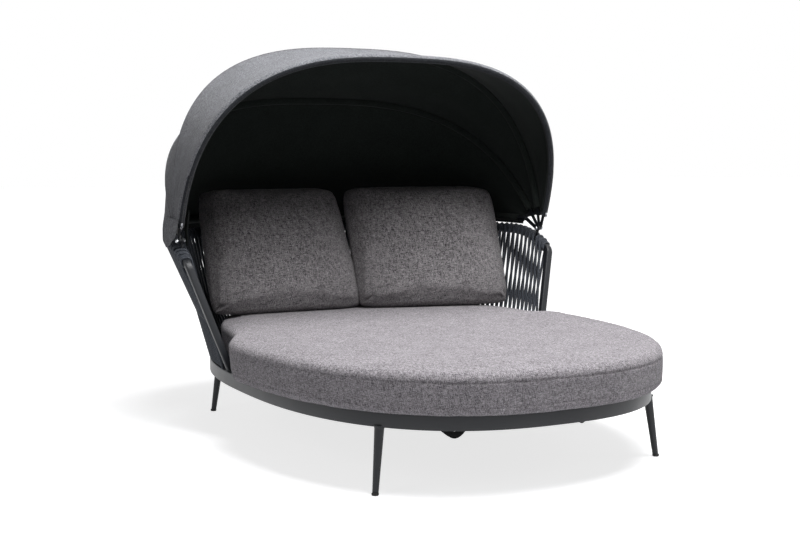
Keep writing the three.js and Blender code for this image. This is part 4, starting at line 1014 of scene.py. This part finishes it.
def makePanel(name, first, last, steps, before, after, seed, bandRows=0):
    outer, weights = panelGrid(first, last, clothNear + canopy["thickness"], steps, before, after, seed)
    inner, _ = panelGrid(first, last, clothNear, steps, before, after, seed)
    rows, columns = outer.shape[:2]
    middle = columns // 2
    alongRun, acrossRun = measured(outer[:, middle]), measured(outer[rows // 2])
    # The hem is bound along both lower edges, and the sleeve round the front bow is of darker cloth
    column = np.minimum(acrossRun[:-1], acrossRun[-1] - acrossRun[1:]) < canopy["hemWidth"]
    slots = np.where(np.broadcast_to(column[None], (rows - 1, columns - 1)), 2, 0)
    slots[:bandRows] = 2
    innerSlots = np.where(slots == 2, 2, 1)
    part = shell(outer, inner, alongRun, acrossRun, (slots.ravel(), innerSlots.ravel(), 2))
    panel = makePiece(f"canopy{name}", part, [canopyCloth, liningCloth, bandCloth], 60)
    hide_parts(f"canopy_{name.lower()}_panel")
    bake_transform(panel)


# The panels go round the front bow, as its sleeve, and a little way round the rear bow
frontTurns = list(range(150, 0, -canopy["sleeveStep"]))
makePanel("Front", "front", "middle", 44, frontTurns, [], 3, bandRows=sum(turn > 60 for turn in frontTurns))
makePanel("Middle", "middle", "rearMiddle", 36, [], [], 5)
makePanel("Rear", "rearMiddle", "rear", 48, [], list(range(10, 100, 10)), 7)
print("canopy made")

# Pockets of lining that hold the bows, sewn to the lining on both sides of each tube
pocketSettings = {
    "radius": 0.0116, "thickness": 0.0010, "seamReach": 0.016, "steps": 18, "hemShare": 0.004, "fade": 0.42,
    "frontEnd": 145, "rearFrontEnd": 95, "plainEnd": 90, "behindSleeve": 0.0008, "underLining": 0.0022,
}
slopes = {"front": (None, 17.0), "middle": (17.0, 14.5), "rearMiddle": (14.5, 23.8), "rear": (23.8, None)}


def pocketEnd(slope, plainTurn):
    # Turn and distance where a pocket meets the lining; with no lining on that side it ends behind the sleeve
    k = pocketSettings
    if slope is None:
        return math.radians(plainTurn), clothNear - k["behindSleeve"]
    high = clothNear - k["seamReach"] * math.tan(math.radians(slope)) - k["underLining"]
    return math.atan2(k["seamReach"], high), math.hypot(k["seamReach"], high)


for bowName, (frontSlope, rearSlope) in slopes.items():
    # Section round the tube, as turn and distance: from where the lining is met behind, under the tube, to
    # where it is met in front
    k = pocketSettings
    frontTurn, frontFar = pocketEnd(frontSlope, k["frontEnd" if bowName == "front" else "rearFrontEnd"])
    rearTurn, rearFar = pocketEnd(rearSlope, k["plainEnd"])
    turn = np.linspace(-rearTurn, frontTurn - 2 * np.pi, k["steps"])
    nearRear = np.exp(-(((turn + rearTurn) / k["fade"]) ** 2))
    nearFront = np.exp(-(((frontTurn - 2 * np.pi - turn) / k["fade"]) ** 2))
    reach = k["radius"] + (rearFar - k["radius"]) * nearRear + (frontFar - k["radius"]) * nearFront
    inside = shares[(shares > k["hemShare"]) & (shares < 1 - k["hemShare"])]
    grids = [np.stack([clothLine(bows[bowName], inside, far + extra, angle) for far, angle in zip(reach, turn)])
             for extra in (k["thickness"], 0.0)]
    makeSheet(f"{bowName}Pocket", grids, 40, 0, [liningCloth], bowBodies[bowName])

# Loose cloth below the hems: a valance under the rear bow that hangs to the rope, and on the left the slack end of
# the front panel, which droops over the pivot, with a corner of lining inside it
valanceSettings = {
    "thickness": 0.0012, "sideEnd": 0.7955, "backEnd": 0.777, "from": 0.86, "to": 1.00, "steps": 7,
    "ripple": 0.0016, "lift": 0.0006, "turn": math.radians(-68),
}
k = valanceSettings
valanceTop = clothLine(bows["rear"], shares, clothNear + canopy["thickness"] + k["lift"], k["turn"])
endZ = k["sideEnd"] + (k["backEnd"] - k["sideEnd"]) * smoothStep(valanceTop[:, 1], k["from"], k["to"])
fall = np.linspace(0, 1, k["steps"])[:, None]
run = measured(valanceTop)
ripple = k["ripple"] * np.sin(run * 38 + 2 * np.sin(run * 9)) * fall
valanceOut = unit(np.cross(np.gradient(valanceTop, axis=0), up))
valanceOut *= np.sign((valanceOut * (valanceTop - pivotPoint)).sum(1).mean())
outer = valanceTop[None] + valanceOut[None] * ripple[..., None]
outer[..., 2] += (endZ - valanceTop[:, 2])[None] * fall
grids = (outer, outer - valanceOut[None] * k["thickness"])
makeSheet("rearValance", grids, 75, 0, [liningCloth], "frame")


flapSettings = {"thickness": 0.0010, "tuck": 0.0045, "ease": 0.35, "foreShare": 0.4, "down": 18}


def hangingFlap(name, places, ripple, waves, materials):
    # A small hanging sheet: places gives, from its front edge to its rear one, how far it stands out, where it is
    # along Y, and its upper and lower heights; ripples run down it and grow towards its lower edge
    k = flapSettings
    line = curveThrough(places, 8)
    outAt, yAt, topAt, lowAt = line.T[:, None]
    down = np.linspace(0, 1, k["down"])[:, None]
    eased = down * (2 - down) * k["ease"] + down * (1 - k["ease"])
    phase = 2 * np.pi * waves * np.linspace(0, 1, len(line))[None]
    x = outAt - k["tuck"] * smoothStep(down, 0.15, 0.5) + ripple * np.sin(phase + 3 * down) * down
    y = yAt + k["foreShare"] * ripple * np.cos(phase) * down
    outer = np.dstack(np.broadcast_arrays(x, y, topAt + (lowAt - topAt) * eased))
    makeSheet(name, (outer, outer + [k["thickness"], 0, 0]), outer.shape[1] // 2, k["down"] // 2, materials,
              "front_bow_body", slots=(0, 1, 1))


# Each place: how far out along X, where along Y, upper and lower height
hangingFlap("hemDroop_left", [
    [-0.8772, 0.300, 0.866, 0.834], [-0.8772, 0.318, 0.868, 0.810], [-0.8772, 0.345, 0.868, 0.788],
    [-0.8774, 0.381, 0.868, 0.770], [-0.8774, 0.420, 0.868, 0.753], [-0.8774, 0.452, 0.866, 0.750],
    [-0.8772, 0.478, 0.862, 0.766], [-0.8768, 0.488, 0.858, 0.802],
], 0.0022, 3.5, [canopyCloth, liningCloth])
hangingFlap("liningDroop_left", [
    [-0.8270, 0.318, 0.905, 0.835], [-0.8240, 0.332, 0.900, 0.790], [-0.8220, 0.350, 0.885, 0.757],
    [-0.8220, 0.372, 0.870, 0.792], [-0.8250, 0.392, 0.860, 0.835],
], 0.0025, 2.0, [liningCloth, liningCloth])
print("valance and loose hems made")

# Felled seams over the two middle bows, with two rows of stitches each
seamSettings = {
    "reach": 0.008, "thickness": 0.0009, "lift": 0.0002, "sink": 0.0004, "stitch": 0.0042, "gap": 0.0026,
    "thread": 0.0005,
}
stitchProfile = [(0.1, -0.5), (0.75, -0.42), (1.0, -0.2), (1.0, 0.2), (0.75, 0.42), (0.1, 0.5)]


def stitchRow(line, outward):
    # Stitches at even lengths along a line: small rods that lie along it, pressed to the cloth
    k = seamSettings
    length = measured(line)[-1]
    count = int(length / (k["stitch"] + k["gap"]))
    rod = lathe(np.array(stitchProfile) * [k["thread"], k["stitch"]], 6, (0, 0, 0))
    return repeated(rod, *framesAt(line, (np.arange(count) + 0.5) * length / count, outward))


for bowName in ("middle", "rearMiddle"):
    k = seamSettings
    offsets = np.linspace(-1, 1, 9) * k["reach"]
    frontFall, rearFall = (math.tan(math.radians(slope)) for slope in slopes[bowName])
    high = clothNear + canopy["thickness"] + k["lift"] - np.abs(offsets) * np.where(offsets > 0, frontFall, rearFall)
    grids = [np.stack([clothLine(bows[bowName], shares, math.hypot(t, h), math.atan2(t, h))
                       for t, h in zip(offsets, high + extra)]) for extra in (k["thickness"], -k["sink"])]
    makeSheet(f"{bowName}Seam", grids, 75, 4, [canopyCloth], bowBodies[bowName], smoothAngle=60)
    outward = unit(grids[0] - grids[1])
    stitches = joined([stitchRow(grids[0][row], outward[row]) for row in (1, 7)])
    dress(makePiece(f"{bowName}Stitches", stitches, [bandCloth], 80), bowBodies[bowName])
print("seams made")

# Zips on the lower ends of the sleeve round the front bow
zipSettings = {
    "from": 0.078, "travel": 0.200, "below": 0.012, "above": 0.020, "tapeTurn": 42, "tapeLift": 0.0008,
    "tapeSink": 0.0002, "teethLift": 0.0014, "teethPitch": 0.0026, "tooth": (0.0058, 0.0016, 0.0014),
}
k = zipSettings
sleeveFar = clothNear + canopy["thickness"]
boxTooth = sweep([[0, 0, -0.5], [0, 0, -0.4], [0, 0, 0.4], [0, 0, 0.5]], roundedSection(1, 1, 0.25, 1),
                 sideways=across, scale=[0.8, 1, 1, 0.8])
boxTooth = (boxTooth[0] * k["tooth"], *boxTooth[1:])
frontAngle = math.radians(bows["front"]["angle"])
frontCrest = clothLine(bows["front"], shares, 0.0)
frontHeight = (frontCrest[:, 2] - pivotPoint[2]) / math.cos(frontAngle)
atRight = shares > 0.5
zipRange = atRight & (frontHeight > k["from"] - k["below"]) & (frontHeight < k["from"] + k["travel"] + k["above"])
zipShares = np.linspace(shares[zipRange].min(), shares[zipRange].max(), 60)
tapeTurns = np.radians(90 + np.linspace(-1, 1, 11) * k["tapeTurn"])
tape = [np.stack([clothLine(bows["front"], zipShares, sleeveFar + extra, turn) for turn in tapeTurns])
        for extra in (k["tapeLift"], -k["tapeSink"])]
tapeSize = measured(tape[0][:, 0]), measured(tape[0][5])
teethLine = evenly(clothLine(bows["front"], zipShares, sleeveFar + k["teethLift"], math.pi / 2), 400)
teethAt = (np.arange(int(measured(teethLine)[-1] / k["teethPitch"])) + 0.5) * k["teethPitch"]
forwards = np.broadcast_to([0, -math.cos(frontAngle), -math.sin(frontAngle)], teethLine.shape)
teethPlace, teethTurn = framesAt(teethLine, teethAt, forwards)

# Slider: a chamfered body, a small bridge on its face and a wire pull that hangs from it
sliderSettings = {
    "width": 0.008, "depth": 0.005, "length": 0.012, "edge": 0.0012, "wire": 0.0009, "pullWidth": 0.0062,
    "pullLength": 0.0155, "pullDrop": 0.0012, "pullLift": 0.0016, "pullFall": 0.0022,
    "pullWire": (0.0016, 0.0013, 0.0005), "bridgeHalf": 0.0034, "bridgeHeight": 0.0026, "bridgeSink": 0.0008,
    "bridgeDrop": 0.0006, "bodyShares": [-0.5, -0.46, -0.36, 0.36, 0.46, 0.5],
}
sliderHeights = [k["from"], k["from"] + k["travel"]]
sliderShare = np.interp(sliderHeights, frontHeight[atRight][::-1], shares[atRight][::-1])
k = sliderSettings
sliderEnds = clothLine(bows["front"], sliderShare, sleeveFar + seatGap + k["depth"] / 2, math.pi / 2)
sliderWay = unit(sliderEnds[1] - sliderEnds[0])
teethOut = teethTurn[0][:, 1]
sliderOut = unit(teethOut - sliderWay * (teethOut @ sliderWay))
sliderTurn = np.column_stack([np.cross(sliderOut, sliderWay), sliderOut, sliderWay])
bodyZ = k["length"] * np.array(k["bodyShares"])
bodyPart = sweep(np.column_stack([np.zeros((6, 2)), bodyZ]), roundedSection(k["width"], k["depth"], k["edge"], 4),
                 sideways=across, scale=[0.7, 0.86, 1, 1, 0.86, 0.7])
half = np.linspace(0, np.pi, 15)
bridgeY = k["depth"] / 2 - k["bridgeSink"] + k["bridgeHeight"] * np.sin(half)
bridgeLine = np.column_stack([np.zeros(15), bridgeY, k["bridgeHalf"] * np.cos(half) - k["bridgeDrop"]])
bridgePart = sweep(bridgeLine, circle(k["wire"], 10), sideways=across)
r = k["pullWidth"] / 2
straight = k["pullLength"] / 2 - r
arc = np.concatenate([half, half + np.pi])
pullZ = r * np.sin(arc) + np.repeat([straight, -straight], 15) - k["pullLength"] / 2 - k["pullDrop"]
pullY = k["depth"] / 2 + k["pullLift"] - k["pullFall"] * smoothStep(-pullZ, 0.004, 0.017)
pullLine = np.column_stack([r * np.cos(arc), pullY, pullZ])
sliderPart = joined([bodyPart, bridgePart, sweep(pullLine, roundedSection(*k["pullWire"], 3), loop=True)])
sliderPart = (sliderPart[0] @ sliderTurn.T + sliderEnds[0], *sliderPart[1:])
tapePart = shell(*tape, *tapeSize)
teethPart = repeated(boxTooth, teethPlace, teethTurn)
for zipTape in makePair("zipTape", tapePart, [bandCloth], body="front_bow_body", smoothAngle=60):
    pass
makePair("zipTeeth", teethPart, [threadPlastic], body="front_bow_body", smoothAngle=30)
makePair("zipSlider", sliderPart, [boltSteel], "zip_slider", "zip_slider_{}_body", 40)
print("zips made")

# Padded pieces


def inflate(piece, settings):
    # Air pressure swells the cover for a few frames with no gravity; no point moves further than the cap
    start = pointsOf(piece)
    cloth = piece.modifiers.new("swell", "CLOTH")
    for key in ("tension", "compression", "shear", "bending"):
        setattr(cloth.settings, key + "_stiffness", settings[key])
    cloth.settings.quality = settings["quality"]
    cloth.settings.mass = settings["mass"]
    cloth.settings.shrink_min = settings["shrink"]
    cloth.settings.use_pressure = True
    cloth.settings.uniform_pressure_force = settings["pressure"]
    cloth.settings.effector_weights.gravity = 0.0
    cloth.point_cache.frame_start = 1
    cloth.point_cache.frame_end = settings["frames"]
    for number in range(1, settings["frames"] + 1):
        scene.frame_set(number)
    move = pointsOf(piece.evaluated_get(bpy.context.evaluated_depsgraph_get())) - start
    far = np.linalg.norm(move, axis=1, keepdims=True)
    piece.modifiers.remove(cloth)
    scene.frame_set(1)
    setPoints(piece, start + move * np.minimum(1, settings["cap"] / np.maximum(far, 1e-9)))
    print(piece.name, "swelled, furthest", round(float(far.max()), 4), "m, mean", round(float(far.mean()), 4), "m")


def twiceAsFine(grid):
    # A closed band of rows with a new point between every two: 9/16 of its two neighbours together, less 1/16
    # of the next two; the columns run round and meet
    for axis, wraps in ((0, False), (1, True)):
        count = grid.shape[axis]
        index = np.arange(count if wraps else count - 1)
        near = [np.take(grid, index + k, axis, mode="wrap" if wraps else "clip") for k in (-1, 0, 1, 2)]
        between = (9 * (near[1] + near[2]) - near[0] - near[3]) / 16
        size = list(grid.shape)
        size[axis] = count + len(index)
        finer = np.zeros(size)
        even, odd = [slice(None)] * 3, [slice(None)] * 3
        even[axis], odd[axis] = slice(0, None, 2), slice(1, None, 2)
        finer[tuple(even)], finer[tuple(odd)] = grid, between
        grid = finer
    return grid


pillowSettings = {
    "width": 0.694, "height": 0.604, "thickness": 0.176, "fullThickness": 0.200, "fullShare": 0.36,
    "draw": 0.005, "corner": 0.024, "cornerPower": 5, "across": 96, "up": 84, "seam": 0.005, "cordRadius": 0.0020,
    "dents": 9, "dentDepth": 0.005, "pucker": 0.0038, "puckers": (9, 17, 29), "puckerFade": 0.16,
    "cornerFold": 0.007, "foldFrom": 0.13, "foldFade": 0.10, "foldEdge": 0.6, "foldWidth": (0.05, 0.25),
    "foldSlant": 0.3, "sink": 0.012,
    "swell": {
        "quality": 5, "mass": 0.3, "tension": 12.0, "compression": 12.0, "shear": 4.8, "bending": 0.3,
        "shrink": -0.04, "pressure": 4.0, "frames": 20, "cap": 0.016,
    },
}
pillowPlaces = {
    "left": {"x": -0.303, "y": 0.735, "turn": -1.5, "lean": 32.0, "seed": 3, "upperLeft": 0.042},
    "right": {"x": 0.388, "y": 0.612, "turn": -15.0, "lean": 31.5, "seed": 4, "upperLeft": -0.018},
}


def pillowGrid(seed):
    # Two crowned faces that meet in a thin seam: the depth is the thickness times a power of the product of
    # the two parabolas across and up. The sides draw in between the corners by those parabolas, and a high
    # power of both shares rounds the corners off. Puckers stand square to the seam and fade inwards, and a
    # fold runs in from each corner
    k = pillowSettings
    u = np.sin(np.linspace(-1, 1, k["across"]) * np.pi / 2)[None, :]
    v = np.sin(np.linspace(-1, 1, k["up"]) * np.pi / 2)[:, None]
    full = np.clip((1 - u**2) * (1 - v**2), 0, None) ** k["fullShare"]
    cut = k["corner"] * np.abs(u * v) ** k["cornerPower"]
    x = u * (k["width"] / 2 - k["draw"] * (1 - v**2)) - np.sign(u) * cut
    z = v * (k["height"] / 2 - k["draw"] * (1 - u**2)) - np.sign(v) * cut
    depth = k["seam"] / 2 + (k["thickness"] - k["seam"]) / 2 * full
    rng = np.random.default_rng(seed)
    faces = []
    for side in (-1, 1):
        dents, folds = np.zeros_like(depth), np.zeros_like(depth)
        for _ in range(k["dents"]):
            cu, cv, size = *rng.uniform(-0.75, 0.75, 2), rng.uniform(0.2, 0.5)
            dents += rng.uniform(-1, 1) * np.exp(-(((u - cu) ** 2 + (v - cv) ** 2) / size**2))
        for count in k["puckers"]:
            size = k["puckers"][0] / (k["puckers"][0] + count)
            for line, inwards in ((u, v), (v, u)):
                fade = np.exp(-(1 - np.abs(inwards)) / k["puckerFade"])
                folds += np.sin(count * line + rng.uniform(0, 2 * np.pi)) * fade * size
        fromCorner = (2 - np.abs(u) - np.abs(v)) / 2
        offDiagonal = np.abs(u) - np.abs(v) - k["foldSlant"] * fromCorner
        width = k["foldWidth"][0] + k["foldWidth"][1] * fromCorner
        corners = np.exp(-((offDiagonal / width) ** 2) - ((fromCorner - k["foldFrom"]) / k["foldFade"]) ** 2)
        edges = (k["pucker"] * folds - k["cornerFold"] * corners) * full ** k["foldEdge"]
        shape = depth - k["dentDepth"] * dents * full + edges
        faces.append(np.dstack([x, side * np.maximum(shape, k["seam"] / 2), z]))
    return faces


def pillowMatrix(place):
    # Leans back about X, then turns about Z
    a, b = -math.radians(place["lean"]), math.radians(place["turn"])
    leaning = np.array([[1, 0, 0], [0, math.cos(a), -math.sin(a)], [0, math.sin(a), math.cos(a)]])
    turning = np.array([[math.cos(b), -math.sin(b), 0], [math.sin(b), math.cos(b), 0], [0, 0, 1]])
    return turning @ leaning


for name, place in pillowPlaces.items():
    k = pillowSettings
    part = shell(*pillowGrid(place["seed"]), k["height"] * np.linspace(0, 1, k["up"]),
                 k["width"] * np.linspace(0, 1, k["across"]))
    # The cover takes the darkened copy of the mattress cloth, painted shade of the canopy
    pillow = makePiece(f"pillowCover_{name}", part, [shadedPillowCloth], 180)
    inflate(pillow, k["swell"])
    points = pointsOf(pillow)
    # Swelling draws the outline in, so the pillow is brought back to its sewn size
    points *= np.array([k["width"], k["fullThickness"], k["height"]]) / np.ptp(points, axis=0)
    # Its upper left corner slumps: the move fades to nothing towards the right side and the lower edge
    points[:, 0] += place["upperLeft"] * (0.5 - points[:, 0] / k["width"]) * (0.5 + points[:, 2] / k["height"])
    turn = pillowMatrix(place)
    points = points @ turn.T + [place["x"], place["y"] + middleY, 0.0]
    # It stands on the mattress, which flattens its lower edge a little
    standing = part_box(f"pillow_{name}")[0].z
    points[:, 2] += standing - k["sink"] - points[:, 2].min()
    below = np.clip(standing + k["sink"] - points[:, 2], 0, None)
    points[:, 2] += below**2 / (4 * k["sink"])
    setPoints(pillow, points)
    rim = rimOf(k["up"], k["across"])
    seamLine = (points[rim] + points[rim + k["up"] * k["across"]]) / 2
    seamLine = evenly(np.concatenate([seamLine, seamLine[:1]]), 420)[:-1]
    cordPart = sweep(seamLine, circle(k["cordRadius"], 8), reference=turn[:, 1], loop=True)
    dress(makePiece(f"pillowSeam_{name}", cordPart, [shadedPillowCloth], 80), f"pillow_{name}_body")
    finer = pillow.modifiers.new("finer", "SUBSURF")
    finer.levels = finer.render_levels = 1
    dress(pillow, f"pillow_{name}_body", f"pillow_{name}")
    print("pillow", name, "done")

mattressSettings = {
    "half": {"right": 0.820, "left": 0.816}, "frontDepth": 1.092, "rearInset": 0.050, "rearFlare": 0.15,
    "fullness": 2.4, "lift": 0.0006, "toMiddle": 0.985, "edgeSteps": 11,
    "shoulder": {"right": (0.080, 0.080), "left": (-0.060, 0.280)}, "shoulderSlope": 0.25,
    "thickness": 0.155, "slack": 0.005, "edge": 0.034, "footEdge": 0.026, "around": 270, "rise": 20, "top": 34,
    "seamDrop": 0.036, "seamRise": 0.030, "seamDepth": 0.0020, "seamWidth": 0.0040, "wave": 0.0010,
    "waveCounts": (19, 3, 43), "waveShares": (2, 0.5),
    "swell": {
        "quality": 4, "mass": 0.4, "tension": 14.0, "compression": 14.0, "shear": 5.6, "bending": 0.8,
        "shrink": -0.01, "pressure": 4.0, "frames": 16, "cap": 0.010,
    },
}


def mattressPlan(steps, rise):
    # Superellipse, wide in front of the posts and drawn in behind them by a smooth step along its depth. It
    # leans back and its rear part widens with its height, and the pad lies a little askew, so its sides differ
    k = mattressSettings
    turn = np.linspace(0, 2 * np.pi, 12001)
    isFront = np.sin(turn) < 0
    inset = k["rearInset"] - k["rearFlare"] * rise
    depth = np.where(isFront, k["frontDepth"], plan["rear"] - inset)
    x, y = superellipse(turn, 1.0, depth, np.where(isFront, k["fullness"], plan["fullness"]))
    widths = {}
    for sideName in ("right", "left"):
        start, length = k["shoulder"][sideName]
        back = smoothStep(y - k["shoulderSlope"] * rise, start, start + length)
        widths[sideName] = k["half"][sideName] * (1 - back) + (plan["half"] - inset) * back
    x = x * np.where(np.cos(turn) > 0, widths["right"], widths["left"])
    return evenly(np.stack([x, y], axis=1), steps + 1)[:-1]


k = mattressSettings
bottomZ = plan["top"] + k["lift"]
topZ = plan["top"] + seatGap + k["thickness"] - k["slack"]
# Side profile: inset from the outline and height, round the lower edge, up the side and round the upper edge
turnEdge = np.linspace(0, np.pi / 2, k["edgeSteps"])
lowerEdge = [(k["footEdge"] * (1 - np.sin(t)), bottomZ + k["footEdge"] * (1 - np.cos(t))) for t in turnEdge]
sideZ = np.linspace(bottomZ + k["footEdge"], topZ - k["edge"], k["rise"])[1:-1]
upperEdge = [(k["edge"] * (1 - np.cos(t)), topZ - k["edge"] * (1 - np.sin(t))) for t in turnEdge]
profile = np.array(lowerEdge + [(0.0, z) for z in sideZ] + upperEdge)
profile[:, 0] += k["slack"]
rings = []
for inset, z in profile:
    outline = mattressPlan(k["around"], z - bottomZ)
    tangent = unit(np.roll(outline, -1, 0) - np.roll(outline, 1, 0))
    rings.append(raised(outline - np.stack([tangent[:, 1], -tangent[:, 0]], axis=1) * inset, z))
sideCount = len(rings)
# The top and the bottom are drawn from their rims to the middle
toMiddle = 1 - np.linspace(0, 1, k["top"])[1:, None, None] * k["toMiddle"]
topRings, bottomRings = (
    (ring - shiftRow) * (share * [1.0, 1.0, 0.0] + [0, 0, 1]) + shiftRow
    for ring, share in ((rings[-1], toMiddle), (rings[0], toMiddle[::4]))
)
grid = np.concatenate([bottomRings[::-1], np.stack(rings), topRings])
firstSide = len(bottomRings)


def mattressPart(grid, firstSide, sideCount):
    # The grid closed by a face at each end; the sides take UVs along and up them, the rest takes its plan
    around = grid.shape[1]
    faces = gridQuads(len(grid), around, False, True)
    points = grid.reshape(-1, 3)
    uv = points[faces][..., :2].copy()
    side = grid[firstSide:firstSide + sideCount]
    sideUv = gridUv(measured(side[:, 0]), measured(np.concatenate([side[0], side[0, :1]])))
    uv[firstSide * around:firstSide * around + len(sideUv)] = sideUv[..., ::-1]
    capTop = (len(grid) - 1) * around + np.arange(around)[None]
    capBottom = np.arange(around)[None, ::-1]
    return points, [faces, capTop, capBottom], [uv, points[capTop][..., :2], points[capBottom][..., :2]], [0, 0, 0]


shape = makePiece("mattressShape", mattressPart(grid, firstSide, sideCount), [padCloth], 180)
inflate(shape, k["swell"])
grid = pointsOf(shape).reshape(grid.shape)
bpy.data.objects.remove(shape)
# The deck keeps the bottom flat: whatever sank below it comes back up
grid[..., 2] = np.maximum(grid[..., 2], bottomZ)
grid = twiceAsFine(grid)
firstSide, sideCount = firstSide * 2, sideCount * 2 - 1
# Seams pull the cover in, a narrow dip near the upper and one near the lower edge, and the side waves a little
side = grid[firstSide:firstSide + sideCount]
tangent = unit(np.roll(side, -1, 1) - np.roll(side, 1, 1))
outwardSide = unit(np.cross(tangent, up))
start = np.interp(np.arange(sideCount) / 2, np.arange(len(profile)), profile[:, 1])[:, None]
around = np.linspace(0, 2 * np.pi, grid.shape[1], endpoint=False)[None]
seams = (topZ - k["seamDrop"], bottomZ + k["seamRise"])
dip = sum(np.exp(-(((start - seamZ) / k["seamWidth"]) ** 2)) for seamZ in seams)
heave = np.cos(np.pi * (start - bottomZ) / k["thickness"])
slowCount, driftCount, quickCount = k["waveCounts"]
drift = k["waveShares"][0] * np.sin(driftCount * around)
wave = np.sin(slowCount * around + drift) * heave + k["waveShares"][1] * np.sin(quickCount * around)
side += outwardSide * (k["wave"] * wave - k["seamDepth"] * dip)[..., None]
mattress = makePiece("mattressCover", mattressPart(grid, firstSide, sideCount), [padCloth], 180)
dress(mattress, "mattress_body", "mattress")
print("mattress made")

# Floor, world and lamps
stageSettings = {
    "floor": tint(196, 196, 198), "size": 60, "world": 0.07, "near": 0.76, "far": 1.0, "nearReach": 1.2,
    "farReach": 4.2,
}
bpy.ops.mesh.primitive_plane_add(size=stageSettings["size"], location=(0, 0, 0))
floor = bpy.context.object
floor.name = "floor"
floorMaterial, tree, shader = newMaterial("floorPaper", {"Roughness": 0.9, "Specular IOR Level": 0.1})
shader.inputs["Base Color"].default_value = stageSettings["floor"]
shader.inputs["Emission Color"].default_value = white


def seenDirectly(tree):
    # What the camera sees, and what metal or glass shows of it
    seen = addNode(tree, "LightPath").outputs
    straight = maths(tree, "MAXIMUM", seen["Is Camera Ray"], seen["Is Glossy Ray"])
    return maths(tree, "MAXIMUM", straight, seen["Is Transmission Ray"])


# White paper that brightens away from the daybed, so the object's shadow stays and the horizon is lost
place = addNode(tree, "TexCoord").outputs["Object"]
reach = addNode(tree, "VectorMath", {"operation": "LENGTH"}, {0: place}).outputs["Value"]
lift = ranged(tree, reach, *(stageSettings[key] for key in ("nearReach", "farReach", "near", "far")))
tree.links.new(maths(tree, "MULTIPLY", seenDirectly(tree), lift), shader.inputs["Emission Strength"])
floor.data.materials.append(floorMaterial)

world = bpy.data.worlds.new("studio")
scene.world = world
world.use_nodes = True
tree = world.node_tree
background = tree.nodes["Background"]
background.inputs["Color"].default_value = white
strength = ranged(tree, seenDirectly(tree), 0.0, 1.0, stageSettings["world"], 1.0)
tree.links.new(strength, background.inputs["Strength"])

lamps = [
    {"name": "overhead", "place": (0.3, -1.2, 4.2), "aim": (0.0, -0.4, 0.3), "size": 2.6, "power": 350},
    {"name": "fromRight", "place": (4.4, -3.0, 2.8), "aim": (0.0, 0.0, 0.5), "size": 2.2, "power": 20},
    {"name": "fromLeft", "place": (-4.6, -1.2, 2.6), "aim": (0.0, 0.0, 0.6), "size": 2.2, "power": 20},
]
for k in lamps:
    lamp = bpy.data.objects.new(k["name"], bpy.data.lights.new(k["name"], "AREA"))
    scene.collection.objects.link(lamp)
    lamp.data.size = k["size"]
    lamp.data.energy = k["power"]
    lamp.location = k["place"]
    lamp.rotation_mode = "QUATERNION"
    lamp.rotation_quaternion = (Vector(k["aim"]) - Vector(k["place"])).to_track_quat("-Z", "Y")
print("stage made")
